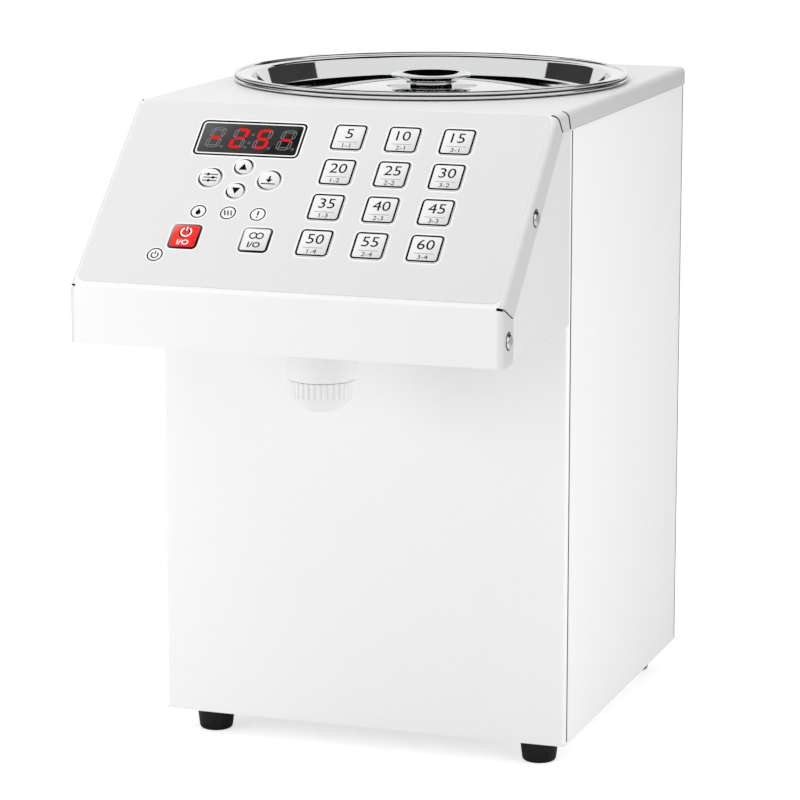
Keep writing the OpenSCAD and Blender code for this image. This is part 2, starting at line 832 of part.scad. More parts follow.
// A screw up through each foot and the pan, and its nut
module foot_screws() {
  foot_nut_t = 3.2;
  color("silver") foot_places(0) {
    translate([0, 0, foot_recess_d]) mirror([0, 0, 1])
      screw(foot_recess_r - 1.5, pan_z - foot_recess_d + foot_nut_t + 2);
    translate([0, 0, pan_z]) linear_extrude(foot_nut_t) difference() {
      circle(2 * screw_r, $fn = 6);
      circle(screw_r);
    }
  }
}

// The console's floor and cheeks: one sheet folded up on both sides, inside the cover's flanges
module console_tray() {
  cheek_front = lip_y + fold_r;
  cheek_drop = fold_r / cos(slope_a);
  square_w = side_x - panel_fold_r;
  color("white") difference() {
    union() {
      block([-square_w, lip_y + sheet_t, floor_z], [square_w, front_y, floor_z + sheet_t]);
      both_sides() {
        translate([square_w, front_y, floor_z]) rotate([90, 0, 0]) linear_extrude(front_y - cheek_front)
          mirror([0, 1]) fold_section(panel_fold_r);
        across(sheet_t, side_x - sheet_t / 2) polygon([
          [cheek_front, floor_z + panel_fold_r],
          [cheek_front, slope_foot_z + (cheek_front - lip_y) * tan(slope_a) - cheek_drop],
          [lip_y + (panel_top_z + cheek_drop - slope_foot_z) / tan(slope_a), panel_top_z],
          [front_y, panel_top_z],
          [front_y, floor_z + panel_fold_r]
        ]);
      }
    }
    translate([0, nozzle_y, floor_z - 1]) cylinder(h = sheet_t + 2, r = stem_thread_r + screw_gap);
    cover_screw_places() screw_hole();
  }
}

// ---- Keypad ----

module panel_overlay() {
  color("whitesmoke") difference() {
    on_slope(0, overlay_top_s + overlay_l / 2, 0) round_plate(overlay_w, overlay_l, overlay_t, overlay_r);
    on_slope(-display_x, display_s, -1)
      round_plate(window_w + 2 * key_gap, window_l + 2 * key_gap, overlay_t + 2, window_r + key_gap);
    at_places(number_places, -1)
      round_plate(key_w + 2 * key_gap, key_l + 2 * key_gap, overlay_t + 2, key_r + key_gap);
    at_places(mode_places, -1)
      round_plate(mode_w + 2 * key_gap, mode_w + 2 * key_gap, overlay_t + 2, key_r + key_gap);
    at_places(set_places, -1) cylinder(h = overlay_t + 2, r = set_r + key_gap);
    at_places(arrow_places, -1) cylinder(h = overlay_t + 2, r = arrow_r + key_gap);
    at_places(lens_places, -1) cylinder(h = overlay_t + 2, r = lens_r + screw_gap);
  }
}

module display_window() {
  color([0.12, 0.12, 0.12]) on_slope(-display_x, display_s) round_plate(window_w, window_l, window_t, window_r);
}

module display_module() {
  color([0.06, 0.06, 0.06]) on_slope(-display_x, display_s, -board_depth)
    translate([-module_w / 2, -module_l / 2, 0]) cube([module_w, module_l, board_depth - 0.3]);
}

module keypad_board() {
  color("darkgreen") difference() {
    on_slope((board_left + board_right) / 2, (board_top_s + board_low_s) / 2, -board_depth - board_t)
      round_plate(board_right - board_left, board_low_s - board_top_s, board_t, 2);
    at_places(standoff_places, -board_depth - board_t - 1)
      cylinder(h = board_t + 2, r = stud_r + screw_gap);
  }
}

module keypad_switches() {
  color("dimgray") at_places(key_places, -board_depth) {
    translate([-switch_w / 2, -switch_w / 2, 0]) cube([switch_w, switch_w, switch_h]);
    cylinder(h = switch_h + plunger_h - 0.1, r = plunger_r);
  }
}

module board_standoffs() {
  color("silver") at_places(standoff_places, -board_depth) {
    cylinder(h = board_depth - sheet_t, r = standoff_r);
    translate([0, 0, -stud_l]) cylinder(h = stud_l, r = stud_r);
  }
}

module indicator_lenses() {
  color("white") at_places(lens_places) cylinder(h = overlay_t + 0.1, r = lens_r);
}

module indicator_leds() {
  color("tomato") at_places(lens_places, -board_depth) cylinder(h = board_depth - 0.2, r = led_r);
}

// A key's stem, which reaches through the cover to its switch
module key_stem() {
  translate([0, 0, stem_end]) cylinder(h = pad_floor - stem_end, r = stem_r);
}

module square_key(place, w, l) {
  on_slope(place.x, place[1]) {
    translate([0, 0, pad_floor]) round_plate(w, l, pad_top - pad_floor, key_r);
    key_stem();
  }
}

module round_key(place, r) {
  on_slope(place.x, place[1]) {
    translate([0, 0, pad_floor]) cylinder(h = pad_top - pad_floor, r = r);
    key_stem();
  }
}

module number_key(k) {
  color("ghostwhite") square_key(number_places[k], key_w, key_l);
}

module key_set() {
  color("ghostwhite") round_key(set_places[0], set_r);
}

module key_save() {
  color("ghostwhite") round_key(set_places[1], set_r);
}

module key_up() {
  color("ghostwhite") round_key(arrow_places[0], arrow_r);
}

module key_down() {
  color("ghostwhite") round_key(arrow_places[1], arrow_r);
}

module key_power() {
  color("crimson") square_key(mode_places[0], mode_w, mode_w);
}

module key_continuous() {
  color("lightgray") square_key(mode_places[1], mode_w, mode_w);
}

// ---- Tank and lid ----

module on_tank_axis(z = 0) {
  translate([0, tank_axis_y, z]) children();
}

module tank() {
  bead_at = rim_r - bead_r;
  color("silver") on_tank_axis(top_z) rotate_extrude($fn = 96) {
    polygon([
      [outlet_hole_r, -tank_depth - dish_h - tank_t], [tank_r / 2, -tank_depth - dish_h - tank_t],
      [tank_r + tank_t, -tank_depth - tank_t], [tank_r + tank_t, gasket_t],
      [bead_at, gasket_t], [bead_at, seat_h],
      [tank_r, seat_h], [tank_r, -tank_depth],
      [tank_r / 2, -tank_depth - dish_h], [outlet_hole_r, -tank_depth - dish_h]
    ]);
    translate([bead_at, tank_bead_h]) circle(bead_r);
  }
}

module tank_gasket() {
  color("gainsboro") on_tank_axis(top_z) tube(rim_r - 3 * bead_r, opening_r, gasket_t);
}

// A flanged fitting through the tank's floor, its nut, and a barb for the suction hose
module tank_outlet() {
  color("silver") on_tank_axis(dish_z) {
    rotate_extrude() polygon([
      [hose_r - 2, outlet_flange_t], [outlet_flange_r, outlet_flange_t], [outlet_flange_r, 0],
      [outlet_hole_r, 0], [outlet_hole_r, -tank_t - nut_t], [barb_r, -tank_t - nut_t],
      [barb_r, -outlet_l], [hose_r - 2, -outlet_l]
    ]);
    translate([0, 0, -tank_t - nut_t]) linear_extrude(nut_t) difference() {
      circle(outlet_flange_r, $fn = 6);
      circle(outlet_hole_r);
    }
  }
}

module heater_band() {
  color("darkgoldenrod") on_tank_axis(tank_floor_z + heater_up) tube(heater_r + heater_t, heater_r, heater_w);
}

module insulation_sleeve() {
  low = tank_floor_z - tank_t;
  color("khaki") difference() {
    on_tank_axis(low) tube(insulation_r, heater_r, top_z - sheet_t - insulation_room - low);
    on_tank_axis(tank_floor_z + heater_up) cylinder(h = heater_w, r = heater_r + heater_t);
  }
}

// Under the flat middle of the tank's floor, with its terminals below it
module thermostat() {
  terminal_h = 4;
  color("tan") on_tank_axis(dish_z - tank_t - thermostat_h) translate([thermostat_x, 0, 0]) {
    cylinder(h = thermostat_h, r = thermostat_r);
    translate([0, 0, -terminal_h]) cylinder(h = terminal_h, r = 0.6 * thermostat_r);
  }
}

module lid() {
  bead_at = rim_r - bead_r;
  dome_foot_r = moat_floor_r - moat_w;
  color("silver") on_tank_axis(top_z) rotate_extrude($fn = 96) {
    polygon(concat(
      [[knob_screw_r, crown_top_h - lid_t], [crown_r, crown_top_h - lid_t]],
      [for (i = [1:5]) dome_point(i / 6, -lid_t)],
      [[dome_foot_r, moat_floor_h - lid_t], [moat_floor_r + lid_t, moat_floor_h - lid_t],
       [moat_r + lid_t, lid_seat_h], [bead_at, lid_seat_h], [bead_at, lid_top_h], [moat_r, lid_top_h],
       [moat_floor_r, moat_floor_h], [dome_foot_r, moat_floor_h]],
      [for (i = [5:-1:1]) dome_point(i / 6, 0)],
      [[crown_r, crown_top_h], [knob_screw_r, crown_top_h]]
    ));
    translate([bead_at, lid_bead_h]) circle(bead_r);
  }
}

// A point of the lid's dome, from the crown's edge (u = 0) out to the moat's floor (u = 1)
function dome_point(u, dh) = let (foot = moat_floor_r - moat_w)
  [crown_r + (foot - crown_r) * u, moat_floor_h + crown_h * (0.5 + 0.5 * cos(180 * u)) + dh];

module lid_knob() {
  edge_t = 1.2;
  flare_r = knob_r - 0.6;
  color("silver") on_tank_axis(top_z + crown_top_h) {
    rotate_extrude() polygon(concat(
      [[0, 0], [neck_r, 0], [neck_r, 0.35 * knob_h]],
      [for (a = [15:15:75]) [flare_r - (flare_r - neck_r) * cos(a),
        (0.35 + 0.65 * (1 - cos(a))) * knob_h - edge_t * sin(a)]],
      [[knob_r, knob_h - edge_t], [knob_r, knob_h], [knob_r - 1, knob_h],
       [0.55 * knob_r, knob_h - 1.6], [0, knob_h - 2]]
    ));
    // the knob's screw, through the lid, and its nut under it
    translate([0, 0, -lid_t - 4]) cylinder(h = lid_t + 4, r = knob_screw_r - screw_gap);
    translate([0, 0, -lid_t - 3]) cylinder(h = 3, r = 5);
  }
}

// ---- Syrup line ----

module suction_hose() {
  color("lightsteelblue") on_tank_axis(pump_top_z)
    tube(hose_r + hose_wall, hose_r, suction_top_z - pump_top_z);
}

// One gear, its axis along Z: straight-flanked teeth round a root circle
module gear(phase) {
  pitch_half = 90 / teeth - 0.6;
  flank = [[root_radius - 0.5, pitch_half * 1.45], [pitch_r, pitch_half], [tip_radius, pitch_half * 0.36]];
  rotate(phase) linear_extrude(gear_w - 2 * running_gap) union() {
    circle(root_radius);
    for (k = [0:teeth - 1]) rotate(360 * k / teeth) polygon(concat(
      [for (p = flank) p[0] * [cos(p[1]), sin(p[1])]],
      [for (p = reversed(flank)) p[0] * [cos(p[1]), -sin(p[1])]]
    ));
  }
}

// Children drawn with Z backwards along the pump's axes, from the gears' front faces
module on_pump_axis(x) {
  translate([x, pump_front_y, pump_axis_z]) rotate([-90, 0, 0]) children();
}

module pump_gear(x, phase, tail) {
  on_pump_axis(x) {
    translate([0, 0, running_gap]) gear(phase);
    translate([0, 0, -bearing_depth]) cylinder(h = bearing_depth + gear_w + tail, r = shaft_r);
  }
}

module drive_gear() {
  color("slategray") pump_gear(drive_x, 0, pump_back_t + bracket_t + shaft_into_motor - 1);
}

module driven_gear() {
  color("slategray") pump_gear(-drive_x, 180 / teeth, bearing_depth);
}

module pump_housing() {
  color("lightgray") difference() {
    union() {
      block([-pump_w / 2, pump_front_y, pump_low_z], [pump_w / 2, pump_back_y, pump_top_z]);
      on_tank_axis(pump_top_z) cylinder(h = barb_l, r = barb_r);
      on_tank_axis(pump_low_z - barb_l) cylinder(h = barb_l, r = barb_r);
    }
    on_pump_axis(0) translate([0, 0, -1]) {
      for (x = [-drive_x, drive_x]) translate([x, 0, 0]) cylinder(h = gear_w + 1, r = chamber_r);
      translate([drive_x, 0, 0]) cylinder(h = gear_w + pump_back_t + 2, r = shaft_r + running_gap);
      translate([-drive_x, 0, 0]) cylinder(h = gear_w + bearing_depth + 2, r = shaft_r + running_gap);
    }
    on_tank_axis(pump_axis_z - pump_h) cylinder(h = 2 * pump_h, r = pump_port_r);
  }
}

module pump_cover() {
  bolt_x = pump_w / 2 - 5;
  bolt_z = pump_h / 2 - 5;
  color("gray") difference() {
    block([-pump_w / 2, pump_front_y - pump_cover_t, pump_low_z], [pump_w / 2, pump_front_y, pump_top_z]);
    for (x = [-drive_x, drive_x])
      on_pump_axis(x) translate([0, 0, -bearing_depth - 1])
        cylinder(h = bearing_depth + 2, r = shaft_r + running_gap);
  }
  // cap screws at its corners
  color("silver") for (x = [-bolt_x, bolt_x], z = [-bolt_z, bolt_z])
    translate([x, pump_front_y - pump_cover_t, pump_axis_z + z]) rotate([90, 0, 0]) cylinder(h = 4, r = 3.2);
}

// An angle: the pump hangs on its upright, in front of the motor
module pump_bracket() {
  color("silver") difference() {
    union() {
      block([-bracket_half_w, pump_back_y, pan_z],
        [bracket_half_w, motor_front_y, pump_top_z + bracket_margin]);
      block([-bracket_half_w, pump_back_y - bracket_foot_l, pan_z],
        [bracket_half_w, pump_back_y, pan_z + bracket_t]);
    }
    on_pump_axis(drive_x) cylinder(h = 4 * pump_back_t, r = 2 * shaft_r);
  }
}

module pump_motor() {
  axis = [drive_x, motor_front_y, pump_axis_z];
  color("dimgray") translate(axis) rotate([-90, 0, 0]) difference() {
    union() {
      cylinder(h = motor_l, r = motor_r);
      translate([0, 0, motor_l]) cylinder(h = 6, r = 8);
    }
    translate([0, 0, -1]) cylinder(h = shaft_into_motor + 1, r = shaft_r + running_gap);
  }
}

module delivery_hose() {
  color("lightsteelblue") hose(hose_path);
}

// The nozzle hangs from the console's floor, held by a nut above it
module nozzle_body() {
  stem_top = nozzle_top_z - floor_z;
  color("white") translate([0, nozzle_y, floor_z]) {
    rotate_extrude() polygon([
      [way_r - way_step, barb_l + stem_top], [barb_r, barb_l + stem_top], [barb_r, stem_top],
      [stem_thread_r, stem_top], [stem_thread_r, 0], [nozzle_r, 0], [nozzle_r, -nozzle_h],
      [spigot_r, -nozzle_h], [spigot_r, -nozzle_h - spigot_h], [way_r, -nozzle_h - spigot_h],
      [way_r, -nozzle_h], [way_r - way_step, -nozzle_h + way_taper_h]
    ]);
    translate([0, 0, sheet_t]) linear_extrude(nut_t) difference() {
      circle(nut_r, $fn = 6);
      circle(stem_thread_r);
    }
  }
}

// The ribbed collar that unscrews for cleaning, drawn from its top down
module nozzle_collar() {
  floor_h = -grip_h - collar_gap;
  groove_r = nozzle_r - rib_d;
  rib_outline = [for (i = [0:4 * ribs - 1]) let (a = 90 * i / ribs)
    (i % 4 < 2 ? nozzle_r : groove_r) * [cos(a), sin(a)]];
  color("white") translate([0, nozzle_y, collar_top_z - collar_gap]) difference() {
    union() {
      translate([0, 0, -grip_h]) linear_extrude(grip_h) polygon(rib_outline);
      rotate_extrude() polygon([
        [0, -grip_h / 2], [groove_r, -grip_h / 2], [groove_r - 0.2, -grip_h],
        [tip_r + 1, -collar_h + 1.2 + collar_gap], [tip_r, -collar_h + collar_gap], [0, -collar_h + collar_gap]
      ]);
    }
    translate([0, 0, floor_h]) cylinder(h = grip_h + 1, r = spigot_r + collar_gap);
    translate([0, 0, -collar_h - 1]) cylinder(h = collar_h, r = way_r + 1);
  }
}

// A soft disc with a crossed slit, which stops drips, lying on the collar's floor
module nozzle_valve() {
  color("snow") difference() {
    translate([0, nozzle_y, collar_top_z - grip_h - 2 * collar_gap]) cylinder(h = valve_t, r = spigot_r - 1);
    for (a = [0, 90]) translate([0, nozzle_y, collar_top_z - grip_h]) rotate(a)
      cube([2 * way_r - 2, 0.6, 8], center = true);
  }
}

// ---- Electrics ----

module power_supply() {
  terminal = [supply_w - 20, 8, 14];
  color("silver") translate([supply_side - side_x, rear_y - supply_rear - supply_l, pan_z]) {
    difference() {
      cube([supply_w, supply_l, supply_h]);
      // grooves in its lid
      for (k = [0:7]) translate([12, 18 + vent_pitch * k, supply_h - 2]) cube([supply_w - 24, vent_h, 4]);
    }
    translate([10, -terminal.y, 4]) cube(terminal);
  }
}

// The board on its four posts, with two relays and two capacitors
module control_board() {
  post_in = 6;
  post_r = 3;
  relay = [28, 20, 16];
  capacitor_r = 9;
  capacitor_h = 22;
  color("darkgreen") translate([control_side - side_x, front_y + control_front, pan_z]) {
    translate([0, 0, post_h]) cube([control_w, control_l, board_t]);
    for (x = [post_in, control_w - post_in], y = [post_in, control_l - post_in])
      translate([x, y, 0]) cylinder(h = post_h, r = post_r);
    translate([0, 0, post_h + board_t]) {
      for (x = [12, 48]) translate([x, 14, 0]) cube(relay);
      for (x = [20, 45]) translate([x, 56, 0]) cylinder(h = capacitor_h, r = capacitor_r);
    }
  }
}

module in_inlet() {
  translate([inlet_x, rear_y, pan_z + inlet_z]) children();
}

// Mains inlet and switch housing in one moulding, with the inlet's three blades
module power_inlet() {
  color([0.1, 0.1, 0.1]) difference() {
    union() {
      in_inlet() rotate([-90, 0, 0]) round_plate(inlet_w, inlet_h, inlet_t, 4);
      in_inlet() block([-inlet_cut_w / 2, -inlet_d, -inlet_cut_h / 2],
        [inlet_cut_w / 2, 0, inlet_cut_h / 2]);
    }
    in_inlet() translate([-socket_w / 2, inlet_t - socket_d, socket_z - socket_h / 2])
      cube([socket_w, socket_d + 1, socket_h]);
    in_inlet() translate([-rocker_w / 2 - 0.5, inlet_t - inlet_d + 4, rocker_z - rocker_r - 0.6])
      cube([rocker_w + 1, inlet_d, 2 * rocker_r + 1.2]);
    rocker_axis() cylinder(h = rocker_w + 6, r = pivot_r + running_gap, center = true);
  }
  color("silver") for (x = [-7, 0, 7])
    in_inlet() translate([x - 1, inlet_t - socket_d, socket_z - 2 - (x == 0 ? -3 : 1)]) cube([2, 12, 4]);
}

// The rocker's pivot, with Z along X
module rocker_axis() {
  in_inlet() translate([0, inlet_t - rocker_pivot_in, rocker_z]) rotate([0, 90, 0]) children();
}

module rocker_switch() {
  half = rocker_swing / 2;
  color([0.08, 0.08, 0.08]) {
    rocker_axis() intersection() {
      cylinder(h = rocker_w, r = rocker_r, center = true);
      // two faces that meet in a shallow vee, tipped by half the swing
      linear_extrude(rocker_w, center = true) rotate(-half) polygon([
        [-2 * rocker_r, -rocker_r], [2 * rocker_r, -rocker_r],
        [rocker_r, 3.4], [0, 1.8], [-rocker_r, 3.4]
      ]);
    }
    rocker_axis() cylinder(h = rocker_w + 5, r = pivot_r, center = true);
  }
}

base_pan();
front_panel();
left_side_panel();
right_side_panel();
rear_panel();
top_cover();
console_tray();
cover_screws();
rear_screws();
feet();
foot_screws();
panel_overlay();
display_window();
display_module();
keypad_board();
keypad_switches();
board_standoffs();
indicator_lenses();
indicator_leds();
for (k = [0:len(number_keys) - 1])
  number_key(k);
key_set();
key_save();
key_up();
key_down();
key_power();
key_continuous();
tank();
tank_gasket();
tank_outlet();
heater_band();
insulation_sleeve();
thermostat();
lid();
lid_knob();
suction_hose();
pump_housing();
pump_cover();
drive_gear();
driven_gear();
pump_motor();
pump_bracket();
delivery_hose();
nozzle_body();
nozzle_collar();
nozzle_valve();
power_supply();
control_board();
power_inlet();
rocker_switch();
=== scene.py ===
# %% [markdown]
# # Dressing a countertop syrup dispenser
# The real object is a folded steel case, coated white, with a mirror-bright tank lid on top, a sloping
# keypad in front and a white nozzle under it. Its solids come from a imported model, which stays as it is.
# This lesson keeps the solids that only need a finish, and models the pieces again whose small forms the
# eye looks for: folds, rolled beads, key caps, prints, screws and ribs.

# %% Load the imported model
import math

import bmesh
import bpy
from mathutils import Matrix, Vector


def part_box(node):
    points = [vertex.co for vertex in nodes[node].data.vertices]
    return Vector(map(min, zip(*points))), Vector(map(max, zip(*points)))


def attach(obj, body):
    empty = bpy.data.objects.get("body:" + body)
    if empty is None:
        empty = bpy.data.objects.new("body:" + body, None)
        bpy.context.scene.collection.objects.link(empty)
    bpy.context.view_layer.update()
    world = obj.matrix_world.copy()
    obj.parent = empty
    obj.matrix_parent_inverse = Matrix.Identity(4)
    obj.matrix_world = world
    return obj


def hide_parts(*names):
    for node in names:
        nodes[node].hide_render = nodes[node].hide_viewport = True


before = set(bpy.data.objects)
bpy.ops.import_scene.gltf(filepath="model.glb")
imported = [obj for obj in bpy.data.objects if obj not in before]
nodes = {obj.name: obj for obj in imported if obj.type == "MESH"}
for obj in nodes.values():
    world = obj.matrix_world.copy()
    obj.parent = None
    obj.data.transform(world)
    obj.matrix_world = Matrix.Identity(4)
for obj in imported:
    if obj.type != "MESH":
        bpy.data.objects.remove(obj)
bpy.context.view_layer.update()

# %% [markdown]
# ## Sizes that the pieces share
# Every piece is drawn in millimetres, as a maker would, and turned into metres when it is placed. The
# few sizes below are the case's own: the table is at height 0, the front is at negative Y.

# %% Sizes in millimetres
MM = 0.001
SIDE_X, FLANGE_X, FOLD = 134.0, 135.0, 4.0
FRONT_Y, BACK_Y, LIP_Y, SLOPE_TOP_Y = -68.75, 206.25, -207.25, -99.35
TOP_Z, SLOPE_FOOT_Z, LIP_Z, PAN_Z = 416.0, 317.0, 282.0, 19.0
TANK_Y, NOZZLE_Y = 67.25, -139.35
SEAM = 0.8

slope_angle = math.atan2(TOP_Z - SLOPE_FOOT_Z, SLOPE_TOP_Y - LIP_Y)
slope_length = math.hypot(TOP_Z - SLOPE_FOOT_Z, SLOPE_TOP_Y - LIP_Y)
print("slope:", round(math.degrees(slope_angle), 2), "degrees,", round(slope_length, 1), "mm long")


# %% Where a piece goes, and how it joins the scene
def on_slope(x=0.0, s=0.0, n=0.0):
    """The place x right of the middle, s down the slope and n out of it, with Z out of the slope."""
    top = Matrix.Translation((0, SLOPE_TOP_Y, TOP_Z)) @ Matrix.Rotation(slope_angle, 4, "X")
    return top @ Matrix.Translation((x, -s, n))


def on_tank(z=TOP_Z):
    """A place on the tank's axis."""
    return Matrix.Translation((0, TANK_Y, z))


def sideways(side):
    """The turn that points Z out of the right side (1) or the left side (-1)."""
    return Matrix.Rotation(math.radians(90 * side), 4, "Y")


def new_object(name, data):
    """An object with its mesh, camera or lamp, linked to the scene."""
    made = bpy.data.objects.new(name, data)
    bpy.context.scene.collection.objects.link(made)
    return made


print("middle of the keypad:", [round(v, 1) for v in on_slope(0, slope_length / 2).translation])

# %% [markdown]
# ## Camera
# The photograph was taken from the right and a little above, from about two metres away with a long
# lens, which is why the upright edges look almost parallel. Position, turn and lens were worked out
# from the case's corners, so the camera needs no shift.

# %% Camera
YAW, PITCH = math.radians(19.0), math.radians(11.34)
camera_data = bpy.data.cameras.new("camera")
camera_data.sensor_width = 36.0
camera_data.lens = 154.98
camera = new_object("camera", camera_data)
camera.location = Vector((708.5, -2052.6, 652.0)) * MM
forward = Vector((-math.sin(YAW) * math.cos(PITCH), math.cos(YAW) * math.cos(PITCH), -math.sin(PITCH)))
camera.rotation_euler = forward.to_track_quat("-Z", "Y").to_euler()
bpy.context.scene.camera = camera
print("camera is", round(camera.location.length, 2), "m from the origin")

# %% [markdown]
# ## How the materials are written
# A colour is written as it looks on a screen, a hex code, and one function turns it into the linear
# numbers that the renderer mixes. One more function adds a node with its settings and its links, so
# that each material reads as a short list. Patterns use Object coordinates, which are metres here, so a
# pattern with a grain of so many millimetres has a scale of 1000 divided by that grain.


# %% Colour and node helpers
def linear(code):
    """A hex colour such as #F2F2F0 as linear red, green, blue and alpha."""
    parts = [int(code[i : i + 2], 16) / 255 for i in (1, 3, 5)]
    return tuple(p / 12.92 if p <= 0.04045 else ((p + 0.055) / 1.055) ** 2.4 for p in parts) + (1.0,)


def add_node(tree, kind, settings=None, **inputs):
    """Adds a node, sets it up, and fills or links its inputs. An underscore in a name is a space."""
    node = tree.nodes.new("ShaderNode" + kind)
    for name, value in (settings or {}).items():
        setattr(node, name, value)
    for name, value in inputs.items():
        socket = node.inputs[int(name[1:])] if name[1:].isdigit() else node.inputs[name.replace("_", " ")]
        if isinstance(value, bpy.types.NodeSocket):
            tree.links.new(value, socket)
        else:
            socket.default_value = value
    return node


def start_material(name, roughness, gloss):
    """A new material, its nodes and its shader. Gloss is how much the surface mirrors head on."""
    material = bpy.data.materials.new(name)
    material.use_nodes = True
    tree = material.node_tree
    shader = tree.nodes["Principled BSDF"]
    shader.inputs["Roughness"].default_value = roughness
    shader.inputs["Specular IOR Level"].default_value = gloss
    return material, tree, shader


def add_relief(tree, shader, grain, depth, detail):
    """Lifts a surface by a noise with a grain and a depth in millimetres, and gives the noise."""
    place = add_node(tree, "TexCoord")
    noise = add_node(tree, "TexNoise", Vector=place.outputs["Object"], Scale=1000 / grain, Detail=detail)
    relief = add_node(tree, "Bump", Height=noise.outputs[0], Strength=1.0, Distance=depth * MM)
    tree.links.new(relief.outputs["Normal"], shader.inputs["Normal"])
    return noise


def add_colours(tree, shader, level, stops):
    """Colours a surface through stops, (position, hex), along a level from 0 to 1."""
    node = add_node(tree, "ValToRGB", Fac=level)
    elements = node.color_ramp.elements
    while len(elements) < len(stops):
        elements.new(0.5)
    for element, (position, code) in zip(elements, stops):
        element.position, element.color = position, linear(code)
    tree.links.new(node.outputs["Color"], shader.inputs["Base Color"])


print("white in linear light:", linear("#FFFFFF")[:3])


# %% [markdown]
# ## Plain finishes
# Most surfaces of a machine are one colour with a fine grain: coated steel has a faint orange peel,
# rubber and moulded plastic a fine spark texture, cast metal a coarse one. They share one recipe, a
# noise that moves the colour between two close hex values and lifts the surface by thousandths of a
# millimetre, or by a tenth on foam. What differs is real: grain, depth, roughness, and whether it is metal.


# %% The shared recipe for a grained surface
def grained(name, light, dark, grain, depth, roughness, metallic=0.0, gloss=0.5):
    """A surface of two close colours, whose noise has a grain and a depth in millimetres."""
    material, tree, shader = start_material(name, roughness, gloss)
    noise = add_relief(tree, shader, grain, depth, 3.0)
    add_colours(tree, shader, noise.outputs[0], [(0.35, dark), (0.65, light)])
    shader.inputs["Metallic"].default_value = metallic
    return material


# %% Case, keypad and nozzle finishes
# Powder coat is sprayed polyester, baked: half-glossy, with an orange peel of about 1.5 mm.
powder_coat = grained("white_powder_coat", "#F6F6F6", "#F4F4F4", 1.5, 0.006, 0.42)
# The console's tray is coated alike, but painted a shade greyer: painted shade for the softer light on its
# side.
tray_coat_painted_shade = grained("white_powder_coat_painted_shade", "#DEDEDE", "#DCDCDC", 1.5, 0.006, 0.42)
# Screen-printed polyester film: satin, with a very fine texture against glare.
overlay_film = grained("printed_polyester_film", "#E4E4E5", "#E2E2E3", 0.3, 0.001, 0.4)
# Screen inks are matt, so that black stays black under a bright sky.
ink_black = grained("black_screen_ink", "#0B0B0B", "#070707", 0.3, 0.001, 0.6, gloss=0.12)
ink_white = grained("white_screen_ink", "#FDFDFD", "#FAFAFA", 0.3, 0.001, 0.5, gloss=0.2)
ink_grey = grained("grey_screen_ink", "#7C7C7C", "#767676", 0.3, 0.001, 0.5, gloss=0.2)
key_plastic = grained("white_polycarbonate", "#EDEDED", "#E9E9E9", 0.4, 0.002, 0.35)
# Acetal, turned and moulded: white, waxy and soft in its highlights.
acetal = grained("white_acetal", "#F3F3F2", "#F0F0EF", 0.8, 0.003, 0.38)
print("case, keypad and nozzle finishes are ready")

# %% Rubber, plastics and the finishes inside the case
black_silicone = grained("black_silicone_rubber", "#101010", "#0B0B0B", 0.5, 0.004, 0.45, gloss=0.35)
foot_rubber = grained("black_natural_rubber", "#101010", "#0A0A0A", 0.5, 0.01, 0.5, gloss=0.3)
black_plastic = grained("black_polyamide", "#1E1E1E", "#171717", 0.4, 0.01, 0.42)
display_plastic = grained("black_epoxy", "#161616", "#0F0F0F", 0.4, 0.005, 0.4)
silicone = grained("translucent_silicone", "#E6E6E2", "#DCDCD8", 1.0, 0.005, 0.45)
# The cover's cut edges, bare steel, and the strips in the seams are painted nearly black: painted shade of
# the slits and the seam gaps.
cut_edge_painted_shade = grained("cut_steel_edge_painted_shade", "#2C2C2C", "#222222", 0.4, 0.002, 0.6, gloss=0.2)
seam_shadow_dark = grained("dark_strip_painted_seam_shadow", "#3A3A3A", "#303030", 0.8, 0.005, 0.6, gloss=0.2)
phenolic = grained("brown_phenolic", "#6B3F22", "#593319", 0.8, 0.01, 0.45)
mica_band = grained("mica_heater_band", "#B49A62", "#97804C", 3.0, 0.02, 0.4)
foam = grained("elastomer_foam", "#4A4A4A", "#3A3A3A", 1.2, 0.15, 0.85)
hose_rubber = grained("silicone_hose", "#DDE3E6", "#D2D9DD", 1.5, 0.01, 0.3)
board_green = grained("solder_mask_green", "#14603A", "#0E4C2D", 1.5, 0.01, 0.35)
led_red = grained("red_epoxy_lens", "#C8301F", "#B32618", 1.0, 0.005, 0.25)
print("finishes inside the case are ready")

# %% Metals
galvanised = grained("galvanised_steel", "#C4C8CA", "#A9AEB1", 6.0, 0.01, 0.38, metallic=1.0)
cast_metal = grained("cast_aluminium", "#B9BBBD", "#A6A8AA", 0.6, 0.02, 0.45, metallic=1.0)
gear_steel = grained("ground_gear_steel", "#A2A5A8", "#8E9194", 0.5, 0.004, 0.28, metallic=1.0)
motor_paint = grained("dark_motor_enamel", "#3C4044", "#34373B", 1.0, 0.01, 0.4)
screw_steel = grained("stainless_screw_steel", "#E9EAEB", "#DDDEDF", 0.3, 0.004, 0.16, metallic=1.0)
# Mirror-polished stainless steel: all it shows is the room, with a trace of the polishing wheel.
mirror_steel = grained("mirror_polished_stainless", "#DCDDDE", "#D6D7D8", 0.4, 0.0006, 0.05, metallic=1.0)
print("metals are ready")

# %% [markdown]
# ## Gradients that follow a piece
# The key tops have a soft painted sheen that runs from light at the upper left to darker at the lower
# right, and the large keys' rims a painted highlight alike; the display's window is smoked, with a painted
# glare that leaves it lighter on the left; and the cover's coat greys down its flanks as painted shade.
# All follow the piece and not the room, so each mesh carries a number from 0 to 1 per point, and a colour
# ramp reads it.


# %% The recipe for a gradient
def shaded(name, stops, roughness, grain=0.5, depth=0.001, gloss=0.5):
    """A surface whose colour runs through stops, (position, hex), along the mesh's own attribute."""
    material, tree, shader = start_material(name, roughness, gloss)
    add_relief(tree, shader, grain, depth, 2.0)
    level = add_node(tree, "Attribute", {"attribute_name": "shade"})
    add_colours(tree, shader, level.outputs["Fac"], stops)
    return material
